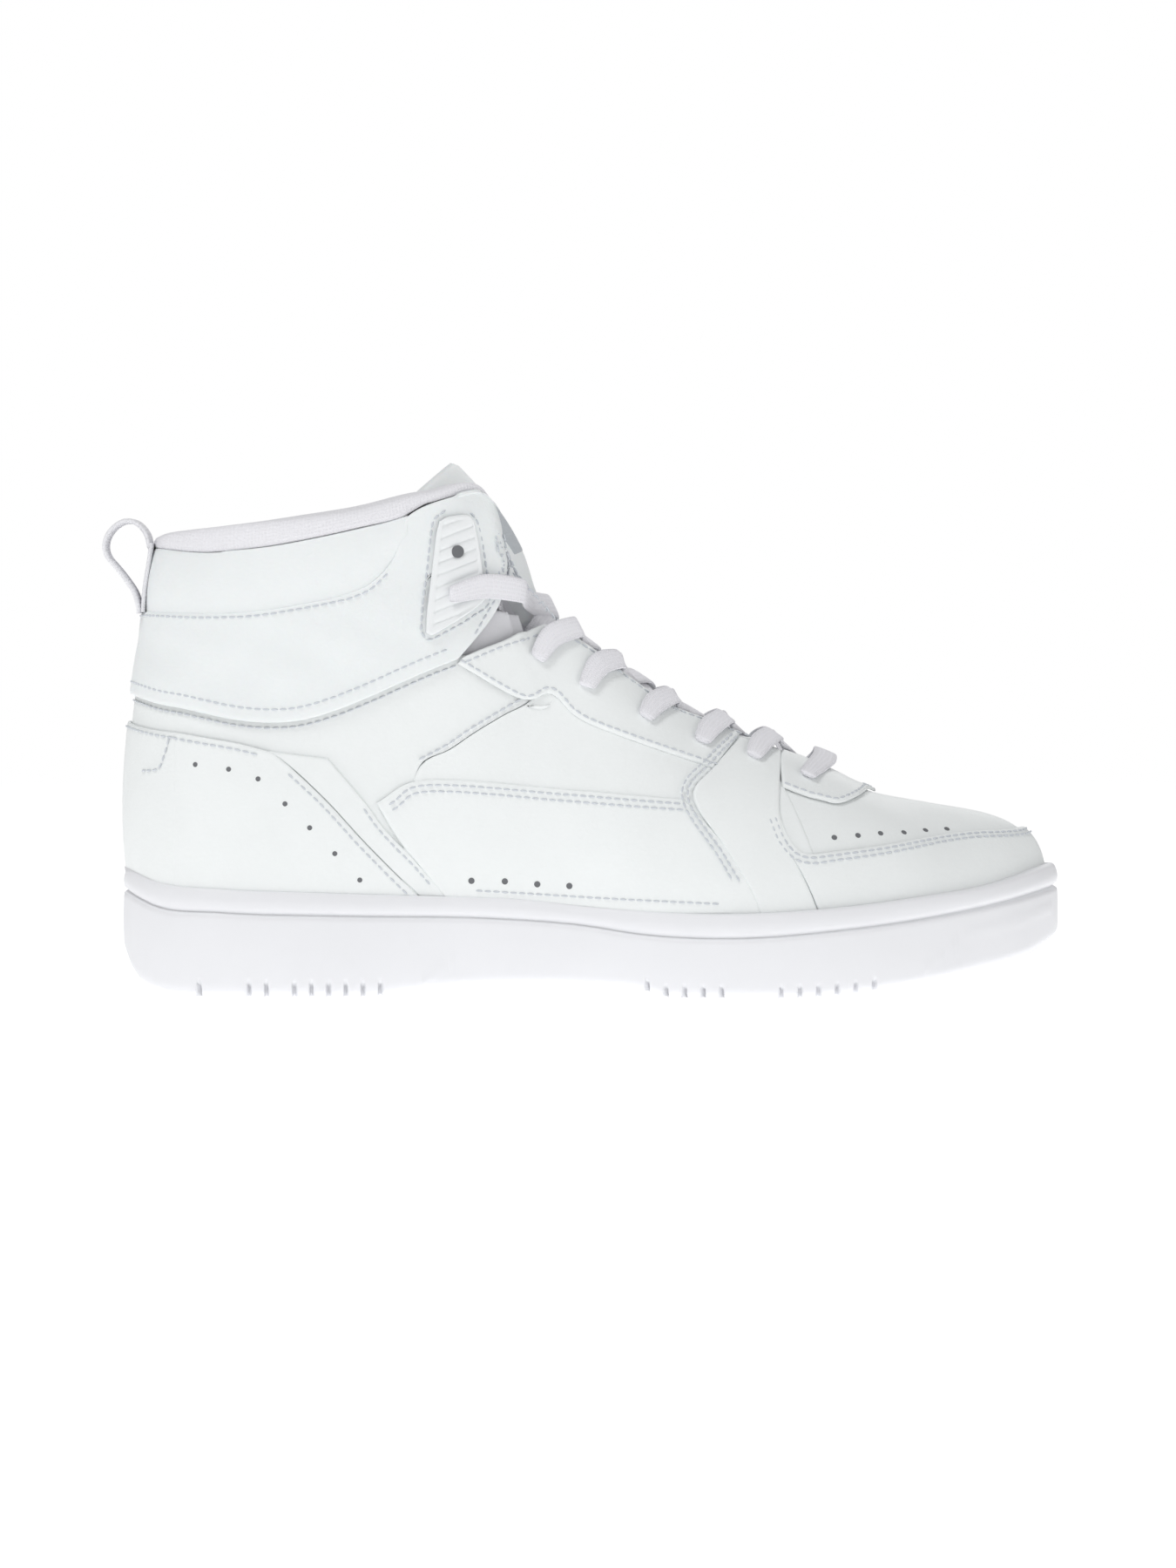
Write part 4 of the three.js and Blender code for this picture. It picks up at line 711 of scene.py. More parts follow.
print("length of the throat edge, mm", round(length_of(on_side(MEDIAL, THROAT))))

# %% Base layer, and the overlays of each side
def turned(side, low, high, rear, front):
    """Four lines in the order that keeps the panel's outer face outwards."""
    if side == MEDIAL:
        return low, high, rear, front
    return low[::-1], high[::-1], front, rear


def straight(a, b):
    """A straight line of places."""
    return np.linspace(a, b, 30)


SIDES = ((MEDIAL, "medial"), (LATERAL, "lateral"))
for side, label in SIDES:
    def cut(name, lines, out=0.0):
        """One leather panel of this side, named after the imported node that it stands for."""
        panel(f"{name}_{label}", lines, "upper_leather", LEATHER, f"{name}_{label}", out=out)

    rear_bottom = np.column_stack([-side * np.linspace(-0.006, feather(90), 40), np.zeros(40)])
    rear_top = np.vstack([at_height(side * 0.006, 100.0),
                          on_side(side, [[27, 95], [49, 92], [71, 97], [93.6, 106], [117, 108]])])
    rear_front = np.vstack([rear_bottom[-1:],
                            on_side(side, [[92, 60], *QUARTER_SEAM, [128, 99], [117, 108]])])
    cut("rear_quarter", turned(side, rear_bottom, rear_top, straight(rear_bottom[0], rear_top[0]),
                               rear_front))
    vamp_end = -side * (VAMP_START + 0.004)
    front_bottom = np.column_stack([np.linspace(-side * feather(86), vamp_end, 60), np.zeros(60)])
    front_top = np.vstack([on_side(side, [[133, 112], *THROAT[1:-1], [195, 82]]), [[vamp_end, 1]]])
    front_rear = np.vstack([front_bottom[:1],
                            on_side(side, [[90, 60], *QUARTER_SEAM, [135, 103], [133, 112]])])
    cut("front_quarter", turned(side, front_bottom, front_top, front_rear,
                                straight(front_bottom[-1], front_top[-1])), 0.6)
    cut("heel_overlay", side_lines(side, [[17.2, 24.5], [60, 24], [101, 22]],
                                   [[17.6, 83.2], *HEEL_TOP[1:]], front=HEEL_FRONT[::-1]), OVERLAY_OUT)
    cut("side_strap", side_lines(side, [[100, 22], [112, 21.5]], [[47, 77.4], [66, 75]],
                                 rear=HEEL_FRONT[::-1], front=STRAP_FRONT[::-1]), OVERLAY_OUT - 0.5)
    cut("side_panel", side_lines(side, [[110, 21.5], [160, 17], [205, 15.5]], [[81, 61], *SIDE_TOP],
                                 rear=[[96, 39.5], [88, 49.4]],
                                 front=[[201, 30], [191.5, 46.5]]), OVERLAY_OUT - 0.1)
    cut("saddle", side_lines(side, [[203, 15.5], [224, 15.5]], [[195.4, 80.6], [208.4, 76.1]],
                             rear=[[200.5, 30], [190.6, 46.8], [180.4, 62.5], [187, 71.6]],
                             front=[[217, 34], [211, 46], [208, 57], [207.9, 65]]), OVERLAY_OUT + 0.25)
    eyestay_top = [[108, 106.8], [114, 109.4], [121, 112], [128, 114.8], [135.9, 116.8],
                   *THROAT[1:5], [195.8, 82]]
    cut("eyestay", side_lines(side, EYESTAY_HEM, eyestay_top), OVERLAY_OUT + 0.15)

panel("heel_patch", heel_lines([[19.6, 24.5]], [[20, 82.8]], 24.5, 86.6), "upper_leather", LEATHER,
      "heel_patch", out=OVERLAY_OUT - 0.1, step=1.6)

# %% [markdown]
# ## Ankle and collar panels
# These two are padded leather. Simulated cloth over foam would fold by itself and look livelier.
# Here a formula gives the folds, which is quick and the same each time.

# %% Ankle panel, collar panel, and the gussets behind the notch
ankle_lines = heel_lines(ANKLE_HEM, [*COLLAR_SEAM, [99, 155.6], [111.5, 158.4], [114.6, 155.5]],
                         94.6, 121, front=ANKLE_FRONT)


def puff(points, a, b):
    """Soft, slightly crumpled leather: crossing waves, half a millimetre high at most."""
    x, z = points[..., 0], points[..., 2]
    fold = np.sin(x * 0.16 + 0.9 * np.sin(z * 0.11)) * np.sin(z * 0.21 + 0.5 * np.sin(x * 0.09))
    return 0.5 * fold * ramp(np.minimum(b, 1 - b), 0.05, 0.4)


def crown(points, a, b):
    """A padded roll: highest midway between the panel's lower and upper edges."""
    return 1.6 * np.sin(math.pi * b) ** 0.8 + 0 * a


panel("ankle_panel", ankle_lines, "soft_leather", SOFT_LEATHER, "ankle_panel",
                out=OVERLAY_OUT + 0.4, step=1.8, roll=1.6, relief=puff, reach=0.2)
collar_low = [[x, z - 1.8] for x, z in COLLAR_SEAM[:-1]] + [[94, 149]]
collar_lines = heel_lines(collar_low, [*KNIT_EDGE[1:], [96, 154]], 119, 141.4)
panel("collar_panel", collar_lines, "soft_leather", SOFT_LEATHER, "collar_panel", out=0.6,
                step=1.8, thick=1.6, relief=crown)

# A gusset of lining cloth closes the notch between the ankle panel and the eyestay.
for side, label in SIDES:
    gusset_lines = side_lines(side, [[100, 98], [133, 100]], [[104, 124], [127, 121]])
    panel(f"notch_gusset_{label}", gusset_lines, "lining_textile", TEXTILE, None, out=-2.2, thick=1.0)
print("ankle panel, collar panel and two gussets")

# %% [markdown]
# ## Toe
# The vamp, the mudguard and the throat stay wrap the toe, so they are drawn on one side and folded
# over the middle line. They would be lasted over a toe form in a real factory too.

# %% Toe
def far_side(line):
    """The same line on the lateral side, running back."""
    return np.column_stack([1 - line[::-1, 0], line[::-1, 1]])


def toe_lines(bottom, top, rear):
    """Four lines of places for a piece that wraps the toe, from its medial half."""
    low = np.vstack([bottom, far_side(bottom)[1:]])
    high = np.vstack([top, far_side(top)[1:]])
    left = np.vstack([bottom[:1], rear, top[:1]]) if len(rear) else np.vstack([bottom[:1], top[:1]])
    right = np.column_stack([1 - left[:, 0], left[:, 1]])
    return low, high, glide(left, 40), glide(right, 40)


half_t = np.linspace(VAMP_START, 0.5, 80)
vamp_grid_t = np.concatenate([half_t, 1 - half_t[-2::-1]])
vamp_v = np.linspace(0, 1, 50)
T, V = np.meshgrid(vamp_grid_t, vamp_v, indexing="ij")
vamp = sheet("vamp", surface(T, V), LEATHER, 1.1)
place(vamp, "shoe", "upper_leather", "vamp")

guard_low = np.column_stack([np.linspace(feather(223.5), 0.5, 60), np.full(60, 0.02)])
guard_side = [[207.6, 56.6], [211, 49.1], [216.3, 45], [226.8, 45.8], [249, 48.6]]
guard_high = glide(np.vstack([locate(MEDIAL, guard_side),
                              [[12.4 / TURN, 0.46], [13.2 / TURN, 0.46], [0.5, 0.5]]]), 80)
guard_lines = toe_lines(guard_low, guard_high, locate(MEDIAL, [[217, 34], [209.5, 48]]))
panel("mudguard", guard_lines, "upper_leather", LEATHER, "mudguard", out=OVERLAY_OUT, step=1.8)
stay_outer = glide(np.vstack([locate(MEDIAL, [[208.6, 65.5], [214, 63.4], [221.2, 61.3], [229.6, 61.1]]),
                              [[12.4 / TURN, 1.0]]]), 60)
stay_inner = glide(np.vstack([locate(MEDIAL, [[208.8, 76.6]]),
                              [[10.7 / TURN, 0.985], [11 / TURN, 0.985],
                               [11.5 / TURN, 0.99], [12.02 / TURN, 1.0]]]), 60)
panel("throat_stay", toe_lines(stay_outer, stay_inner, []), "upper_leather", LEATHER, "throat_stay",
      out=OVERLAY_OUT + 0.1, step=1.8)

# %% [markdown]
# ## Collar
# A knit sleeve rolls over the top edge: it starts outside, goes over the foam, and runs down
# inside the ankle. Here it is one sheet of knit, drawn as a section that travels round the ankle.

# %% Collar lining and its foam
COLLAR_END = 0.243
collar_t = np.linspace(-COLLAR_END, COLLAR_END, 241)
edge_line = [[10.3, 141.3], *KNIT_EDGE[1:], [99, 156], [111.6, 159.1]]
edge_v = np.empty_like(collar_t)
for side in (MEDIAL, LATERAL):
    places = on_side(side, edge_line, 80)
    order = np.argsort(np.abs(places[:, 0]))
    mine = (collar_t * -side) >= 0
    edge_v[mine] = np.interp(np.abs(collar_t[mine]), np.abs(places[order, 0]), places[order, 1])
edge_v = np.minimum(edge_v, 0.972)
low_v = at_height(collar_t, 100.0)[:, 1]
pad = 5.2 * (1 - ramp(np.abs(collar_t), 0.17, 0.225)) + 2.0
rows = []
for share, out in ((0, 0.05), (0.12, 0.55), (0.35, 0.8), (0.7, 0.75), (0.95, 0.3)):
    v = edge_v + share * (1.0 - edge_v)
    rows.append(shell(collar_t, np.minimum(v, 1.0), np.full_like(collar_t, out)))
top = surface(collar_t, 1)
inward = -normal(collar_t, 0.985)
up = np.array([0, 0, 1.0])
for angle in np.linspace(0.15, 1, 9):
    turn = math.pi * angle
    radius = (pad + 2.4)[:, None] / 2
    lift = (0.1 + 0.4 * math.sin(turn)) * (1 - 0.8 * ramp(np.abs(collar_t), 0.16, 0.21))
    rows.append(top + inward * radius * (1 - math.cos(turn)) + up * lift[:, None])
for share in np.linspace(0.06, 1, 26):
    v = 0.985 - share * (0.985 - low_v)
    belly = pad + 2.4 + 1.2 * math.sin(math.pi * min(1, share * 1.6)) * (pad / 7.2)
    rows.append(shell(collar_t, v, -belly))
collar_grid = np.array(rows).transpose(1, 0, 2)
collar = sheet("collar_knit", collar_grid, KNIT, 0.9)
place(collar, "shoe", "collar_knit", "collar_lining", "collar_foam")
print("collar grid", collar_grid.shape[:2])

# %% [markdown]
# ## Tongue
# The tongue is a padded strip bent across the instep. Its top flares over the collar, and a plain
# grey patch is sewn on its face.

# %% Tongue
# Rows up the tongue: x and z of its middle, bend radius, and half of its arc in degrees.
TONGUE = np.array([[232, 56.5, 30, 30], [216, 65, 27, 38], [200, 73.6, 22, 42], [178, 87, 20.5, 47],
                   [158, 100.2, 20.5, 50], [142, 111.6, 21, 54], [131.4, 124.4, 22, 57], [125.8, 139.9, 24, 64],
                   [117.6, 153.6, 26, 82], [104.6, 168.2, 28, 98]])


def tongue_row(a):
    """x, z, bend radius and half arc, at shares a of the way up."""
    a = np.asarray(a, float)
    padded = np.vstack([2 * TONGUE[0] - TONGUE[1], TONGUE, 2 * TONGUE[-1] - TONGUE[-2]])
    at = np.clip(a, 0, 1) * (len(TONGUE) - 1)
    i = np.minimum(at.astype(int), len(TONGUE) - 2)
    f = (at - i)[..., None]
    p0, p1, p2, p3 = (padded[i + k] for k in range(4))
    m1, m2 = (p2 - p0) / 2, (p3 - p1) / 2
    return ((1 + 2 * f) * (1 - f) ** 2 * p1 + f * (1 - f) ** 2 * m1
            + f * f * (3 - 2 * f) * p2 + f * f * (f - 1) * m2)


def on_tongue(a, b, out):
    """A point of the tongue: a up its length, b from wing to wing, out above its face."""
    a, b, out = np.broadcast_arrays(*(np.asarray(k, float) for k in (a, b, out)))
    row = tongue_row(a)
    step = tongue_row(np.minimum(a + 0.001, 1)) - tongue_row(np.maximum(a - 0.001, 0))
    along = unit(np.stack([step[..., 0], 0 * a, step[..., 1]], axis=-1))
    up = np.stack([along[..., 2], 0 * a, -along[..., 0]], axis=-1)
    angle = b * np.radians(row[..., 3])
    reach = row[..., 2] + out
    middle = np.stack([row[..., 0], 0 * a, row[..., 1]], axis=-1)
    return (middle + up * (reach * np.cos(angle) - row[..., 2])[..., None]
            + np.stack([0 * a, reach * np.sin(angle), 0 * a], axis=-1))


WING_SINK = 9


def tongue_piece(name, a0, a1, b_half, out, thick, material, slot_name, node, n=90, m=44, wider=0.0):
    """A sheet on the tongue, with edges that turn down. wider spreads its low end under the throat,
    and towards the wings the sheet sinks, to pass under the lace."""
    a, b = np.meshgrid(np.linspace(a0, a1, n), np.linspace(-b_half, b_half, m), indexing="ij")
    spread = 1 + wider * (1 - ramp(a, 0.5, 0.75))
    b = b * spread
    edge = np.minimum(np.minimum(a - a0, a1 - a) * 175, 40)
    edge = np.minimum(edge, (b_half * spread - np.abs(b)) * 22)
    rise = np.sqrt(1 - (1 - np.clip(edge / 1.6, 0, 1)) ** 2)
    p = on_tongue(a, b, out + (rise - 1) * 1.2 - WING_SINK * ramp(np.abs(b), 0.6, 1.2))
    place(sheet(name, p, material, thick), "tongue", slot_name, node)


tongue_piece("tongue_face", 0, 1, 1, 0.0, 1.2, SOFT_LEATHER, "soft_leather", "tongue_face",
             wider=0.45)
a, b = np.meshgrid(np.linspace(0.01, 0.997, 90), np.linspace(-0.98, 0.98, 40), indexing="ij")
depth = 1.6 + 5.5 * ramp(a, 0.05, 0.6) * (1 - ramp(np.abs(b), 0.55, 1.0)) * (1 - ramp(a, 0.95, 1.0))
front, back = on_tongue(a, b, -1.25), on_tongue(a, b, -1.25 - depth)
ring = np.concatenate([front, back[:, ::-1]], axis=1)
n, m = ring.shape[:2]
this_row, next_row = np.arange(n - 1) * m, np.arange(1, n) * m
closing = np.column_stack([this_row + m - 1, next_row + m - 1, next_row, this_row])
pad_faces = np.vstack([grid_faces(n, m), closing])
half = m // 2
caps = []
for row, flip in ((0, False), (n - 1, True)):
    for j in range(half - 1):
        quad = [row * m + j, row * m + j + 1, row * m + m - 2 - j, row * m + m - 1 - j]
        caps.append(quad[::-1] if flip else quad)
tongue_pad = make_object("tongue_padding", ring, np.vstack([pad_faces, np.array(caps)]), TEXTILE,
                         grid_uv(ring))
place(tongue_pad, "tongue", "lining_textile", "tongue_foam", "tongue_lining")
tongue_piece("tongue_patch", 0.775, 0.9, 0.45, 0.75, 0.7, GREY, "patch_grey", "tongue_patch",
             n=30, m=30)
print("thickest tongue padding, mm", round(float(depth.max()), 1))

# %% [markdown]
# ## Lace
# One flat woven lace: it comes up through an eyelet's underside, crosses the tongue and goes down
# into the next eyelet of the other side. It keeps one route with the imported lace, and is drawn as a
# rounded ribbon with its own direction for "up" at each stop.

# %% Lace route
LACE_WIDE, LACE_THICK, LACE_HOLE = 7.8, 1.3, 4.0
# Clear of the tongue's face, and how deep the lace runs inside the leather and inside the plate.
LACE_CLEAR = 1.8
UNDER_LEATHER, UNDER_PLATE = -7.3, -11.4


def stop(t, v, out, width=LACE_WIDE):
    """One stop of the lace on the shoe: where it is, which way is up, and its width."""
    return [shell(t, v, out), normal(t, v), width]


def throat_edge(side, x):
    """The place on the throat edge at a given x, found by halving."""
    low, high = 7 / TURN, 12 / TURN
    for _ in range(30):
        middle = (low + high) / 2
        low, high = (middle, high) if surface(middle, 1)[0] < x else (low, middle)
    return np.array([-side * low, 1.0])


def lace_over(k):
    """How far above the guide surface the lace lies at eyelet k."""
    return PLATE_OUT + 1.2 if k == 6 else 3.0


def lace_under(k):
    """How far below the guide surface it runs inside."""
    return UNDER_PLATE if k == 6 else UNDER_LEATHER


def through(side, k):
    """The way through eyelet k from outside to inside."""
    t, v = locate(side, [EYELETS[k]])[0]
    over, under = lace_over(k), lace_under(k)
    stops = [stop(t, v, over, LACE_HOLE + 1.6)]
    for out in (over - 1.4, (over + under) / 2, under + 0.9):
        stops.append([shell(t, v, out), None, LACE_HOLE])
    stops.append(stop(t, v, under, LACE_HOLE + 0.6))
    return stops


THROAT_CROSSINGS = [205, 189.8, 172.5, 155.5, 142.5]
TONGUE_X = tongue_row(np.linspace(0, 1, 400))[:, 0]


def crossing(side, k, rise):
    """From the inside of eyelet k, over the tongue, to the outside of the next one opposite."""
    start, end = locate(side, [EYELETS[k]])[0], locate(-side, [EYELETS[k + 1]])[0]
    leave = throat_edge(side, EYELETS[k][0] + 4)
    last_one = k == 5
    arrive = (locate(-side, [[121.6, 126.6]])[0] if last_one
              else throat_edge(-side, THROAT_CROSSINGS[k]))
    edge_from = shell(*leave, lace_under(k))
    edge_to = (shell(*arrive, lace_over(k + 1) + 0.6) * [1, 0.94, 1]
               + [3 if last_one else 0, 0, 0.5])
    stops = [stop(*(start + 0.55 * (leave - start)), lace_under(k) - 0.8),
             [edge_from, normal(*leave), LACE_WIDE]]
    for share in (0.1, 0.22, 0.36, 0.5, 0.64, 0.78, 0.9):
        line = edge_from + share * (edge_to - edge_from)
        a = np.interp(-line[0], -TONGUE_X, np.linspace(0, 1, 400))
        row = tongue_row(a)
        b = math.asin(max(-0.85, min(0.85, line[1] / row[2]))) / math.radians(row[3])
        base = on_tongue(a, b, 0)
        up = on_tongue(a, b, 1) - base
        crest = rise * min(1, 3 * min(share, 1 - share))
        free = (line - base) @ up + crest
        needed = LACE_CLEAR + LACE_THICK / 2 + crest
        stops.append([line + up * (crest + max(0, needed - free)), up, LACE_WIDE])
    return stops + [[edge_to, normal(*arrive), LACE_WIDE],
                    stop(*(end + 0.5 * (arrive - end)), lace_over(k + 1) + 0.2)]


def climb(side):
    """Half of the lacing, from the front bar to the top eyelet, and its tucked end."""
    route = []
    for k in range(6):
        route += through(side, k) + crossing(side, k, 0 if side == MEDIAL else LACE_THICK + 0.4)
        side = -side
    route += through(side, 6)
    for i, (t, z) in enumerate([[0.215, 118], [0.205, 108], [0.2, 98], [0.197, 88]]):
        width = LACE_HOLE if i == 3 else LACE_WIDE - 1.5 * i
        route.append(stop(*at_height(np.array(-side * t), z), lace_under(6) - 0.6, width))
    return route


bar_t = throat_edge(MEDIAL, EYELETS[0][0] + 4.5)[0]
bar_middle = surface(bar_t, 1) * [1, 0, 1] + [2.2, 0, 5]
bar = [stop(bar_t, 1, 3.3), [bar_middle, np.array([0.37, 0, 0.93]), LACE_WIDE], stop(-bar_t, 1, 3.3)]
route = climb(MEDIAL)[::-1] + bar + climb(LATERAL)
centres = np.array([s[0] for s in route])
widths = np.array([s[2] for s in route])
along = unit(np.gradient(centres, axis=0))
across, last = [], None
for (_, up_here, _), way in zip(route, along):
    side_way = last if up_here is None else np.cross(up_here, way)
    side_way = unit(side_way - way * (side_way @ way))
    if last is not None and side_way @ last < 0:
        side_way = -side_way
    across.append(side_way)
    last = side_way
count = (len(centres) - 1) * 9 + 1
packed = glide(np.hstack([centres, np.array(across) * 20, widths[:, None]]), count)
centres, across, widths = packed[:, :3], packed[:, 3:6], packed[:, 6]
along = unit(np.gradient(centres, axis=0))
across = unit(across - along * (across * along).sum(axis=1, keepdims=True))
face = np.cross(along, across)
corner = np.linspace(0, 2 * math.pi, 16, endpoint=False)
wide = np.sign(np.cos(corner)) * np.abs(np.cos(corner)) ** 0.55
high = np.sign(np.sin(corner)) * np.abs(np.sin(corner)) ** 0.8
ribbon = (centres[:, None] + across[:, None] * (widths[:, None] / 2 * wide)[..., None]
          + face[:, None] * (LACE_THICK / 2 * high)[:, None] * np.ones((count, 1, 1)))


def tube(name, rings, material, ring_size=10.0):
    """A closed tube from rings [n, m, 3], with its ends capped."""
    n, m = rings.shape[:2]
    i, j = [k.ravel() for k in np.meshgrid(np.arange(n - 1), np.arange(m), indexing="ij")]
    quads = np.column_stack([i * m + j, i * m + (j + 1) % m, (i + 1) * m + (j + 1) % m, (i + 1) * m + j])
    obj_points = np.vstack([rings.reshape(-1, 3), rings[0].mean(axis=0), rings[-1].mean(axis=0)])
    k = np.arange(m)
    end = (n - 1) * m
    caps = [[n * m, (a + 1) % m, a] for a in k] + [[n * m + 1, end + a, end + (a + 1) % m] for a in k]
    run = np.concatenate([[0], np.cumsum(np.linalg.norm(np.diff(rings.mean(axis=1), axis=0), axis=1))])
    round_it = ring_size * np.abs(np.linspace(-1, 1, m))
    uv = np.stack(np.broadcast_arrays(run[:, None], round_it[None]), axis=-1)
    uv = np.vstack([uv.reshape(-1, 2), [[0, 0], [run[-1], 0]]])
    return make_object(name, obj_points, quads.tolist() + caps, material, uv)


lace = tube("lace", ribbon, LACE)
place(lace, "shoe", "lace_webbing", "lace")
lace_length = np.linalg.norm(np.diff(centres, axis=0), axis=1).sum()
print("lace length, mm", round(lace_length))

# %% [markdown]
# ## Eyelet plates
# A moulded plate with slanted ribs holds the two top eyelets of each side. A texture could show the
# ribs, but they catch the light from the side, so they are in the grid itself.

# %% Eyelet plates
RIB_STEP, RIB_HIGH = 3.75, 0.75


def ribs(points, a, b):
    """Slanted ridges inside a flat rim, with the grooves between them sunk below the rim."""
    across_ribs = points[..., 2] - points[..., 0] * 14 / 36
    inner = ramp(np.minimum(np.minimum(a, 1 - a) * 14, np.minimum(b, 1 - b) * 33), 1.2, 1.9)
    ridge = np.abs(np.sin(across_ribs * math.pi / RIB_STEP)) ** 0.6
    return inner * RIB_HIGH * (ridge - 1)


for side, label in SIDES:
    plate_lines = side_lines(
        side, [[96.4, 114.6], [98.5, 113.8], [104, 117], [110.2, 121], [114.6, 124.8]],
        [[100.2, 149.6], [103, 151], [108.6, 151.4], [110.4, 149.1]],
        rear=[[96.8, 122], [98.3, 135.7], [99.3, 145.5]], front=[[113.2, 135.7], [111.7, 144.1]])
    panel(f"eyelet_plate_{label}", plate_lines, "plate_moulded", MOULDED, f"eyelet_plate_{label}",
          out=PLATE_OUT, thick=1.4, step=0.45, roll=0.7, relief=ribs)
print("ribs on a plate, about", round(33 / RIB_STEP))

# %% [markdown]
# ## Pull tab
# A loop of webbing at the back helps to pull the shoe on. Its lower end is sewn to the heel, and
# the loop bends. The base is a mesh that moves with the shoe; the loop is a second mesh, not attached to a
# body.

# %% Pull tab
def web_strip(name, line, width, thick, material):
    """A flat band of webbing along a side-view line, with rounded edges."""
    fine = glide(line, 70)
    p = np.column_stack([fine[:, 0], 0 * fine[:, 0], fine[:, 1]])
    way = unit(np.gradient(p, axis=0))
    out = np.column_stack([way[:, 2], 0 * way[:, 0], -way[:, 0]])
    k = np.linspace(0, 2 * math.pi, 24, endpoint=False)
    w = np.sign(np.cos(k)) * np.abs(np.cos(k)) ** 0.3 * width / 2
    h = np.sign(np.sin(k)) * np.abs(np.sin(k)) ** 0.6 * thick / 2
    rings = p[:, None] + out[:, None] * h[None, :, None] + np.array([0, 1, 0]) * w[None, :, None]
    return tube(name, rings[:, ::-1], material, 10)


TAB_WIDE, TAB_THICK = 24, 1.7
BASE_LINE = [[9.2, 143], [8.6, 138], [7.6, 132], [6.9, 127], [6.4, 121]]
LOOP_LINE = [[8.6, 141.5], [7.4, 146], [4.4, 149.3], [0.6, 149.9], [-2.8, 148], [-5, 145],
             [-5.7, 141.6], [-4.7, 138.4], [-2, 135.2], [1, 131.4], [3.6, 127.4], [5, 123],
             [5.2, 120.6]]
tab_base = web_strip("pull_tab_base", BASE_LINE, TAB_WIDE, TAB_THICK, WEBBING)
place(tab_base, "shoe", "tab_webbing", "pull_tab_base")
tab = web_strip("pull_tab_loop", LOOP_LINE, TAB_WIDE, TAB_THICK, WEBBING)
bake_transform(tab)
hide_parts("pull_tab_loop")
print("webbing width, mm", TAB_WIDE)

# %% [markdown]
# ## Stitch rows
# Every seam is sewn with one or two rows of thread. Each stitch is a small spindle that lies along
# its seam. A painted seam would be quicker, but it would have no height at the edge of the shoe.

# %% Stitch rows
def sew_heel(line, heel_z, out, shift=0.0):
    """A row that runs from the lateral side round the heel to the medial side."""
    far, near = (on_side(side, line, 60) for side in (LATERAL, MEDIAL))
    sew(glide(np.vstack([far[::-6], at_height(0.0, heel_z)[None], near[::6]]), 260), out, shift=shift)


sew_heel(HEEL_TOP, 86.6, 1.6, shift=-2)
sew_side(HEEL_FRONT, 1.55, shift=-2)
sew_side(STRAP_FRONT[:-1], 1.05, shift=-1.6)
sew_side(EYESTAY_HEM, 1.7, shift=1.5)
sew_side(THROAT, 1.7, shift=-1.9)
sew_side([[108, 106.8], [121, 112], [135, 116]], 1.7, shift=-1.7)
sew_side(QUARTER_SEAM, 0.4, shift=1.8)
for row_shift in (-1.5, -3.3):
    sew_side(SADDLE_REAR, 1.8, shift=row_shift)
for row_shift in (-1.8, -3.8):
    sew_side([[84, 62], *SIDE_TOP], 1.45, shift=row_shift)
sew_side([[112, 30.6], [150, 28.4], [188, 26.6]], 1.45, shift=3)
sew_heel(ANKLE_HEM, 94.6, 1.9, shift=4.2)
sew_heel(ANKLE_HEM, 94.6, 0.3, shift=-1.6)
sew_heel(COLLAR_SEAM[:-1], 121, 1.95, shift=-1.4)
sew_side([[113.3, 112.5], *ANKLE_FRONT], 1.95, shift=2.2)
for row_shift in (-1.6, -3.4):
    sew(guard_high, 1.55, shift=row_shift)
    sew(far_side(guard_high), 1.55, shift=row_shift)
sew(stay_outer, 1.65, shift=1.4)
sew(far_side(stay_outer), 1.65, shift=1.4)
FRONT_RIM = [[95, 115], [97.6, 112.4], [104, 115.4], [111, 119.6], [116, 124.2], [114.8, 135.7],
             [113.2, 144.6], [111.6, 150], [109, 152.9]]
REAR_RIM = [[95, 115], [95.4, 122], [96.9, 135.7], [97.9, 145.5], [98.8, 150], [101.6, 152.6]]
for side in (MEDIAL, LATERAL):
    sew(on_side(side, FRONT_RIM, 140), 2.0)
    sew(on_side(side, REAR_RIM, 100), 2.0)
heel_patch_row = glide([[16.6, 81.3], [15.1, 76.1], [13, 71.6], [8, 70.8]], 50)
sew_side(heel_patch_row.tolist(), 1.6)

# A stitch is five rings of six points, thin at both ends, with the ends dipped into the leather.
THREAD_WIDE, THREAD_HIGH = 0.34, 0.26
kit = []
for centre_points, way, up_way, spacing in STITCHES:
    side_way = np.cross(up_way, way)
    length = spacing * 0.4
    rings = []
    for share, size in ((-1, 0.25), (-0.6, 0.9), (0, 1.0), (0.6, 0.9), (1, 0.25)):
        for angle in np.arange(6) * math.pi / 3:
            high_by = THREAD_HIGH * size * math.sin(angle) - 0.12 * share * share + 0.1
            rings.append(centre_points + way * (length * share)
                         + side_way * (THREAD_WIDE * size * math.cos(angle)) + up_way * high_by)
    kit.append(np.stack(rings, axis=1))
stitch_points = np.vstack(kit)
unit_faces = [[r * 6 + k, (r + 1) * 6 + k, (r + 1) * 6 + (k + 1) % 6, r * 6 + (k + 1) % 6]
              for r in range(4) for k in range(6)]
cap_faces = [list(range(6)), list(range(29, 23, -1))]
starts = np.arange(len(stitch_points)) * 30
stitch_faces = (np.array(unit_faces)[None] + starts[:, None, None]).reshape(-1, 4).tolist()
for cap in cap_faces:
    stitch_faces += (np.array(cap)[None] + starts[:, None]).tolist()
# The stitches take the grey thread finish, which is painted shade.
stitches = make_object("stitches", stitch_points.reshape(-1, 3), stitch_faces, THREAD_PAINTED_SHADE)
place(stitches, "shoe", "lace_webbing")
print("stitches", len(stitch_points))
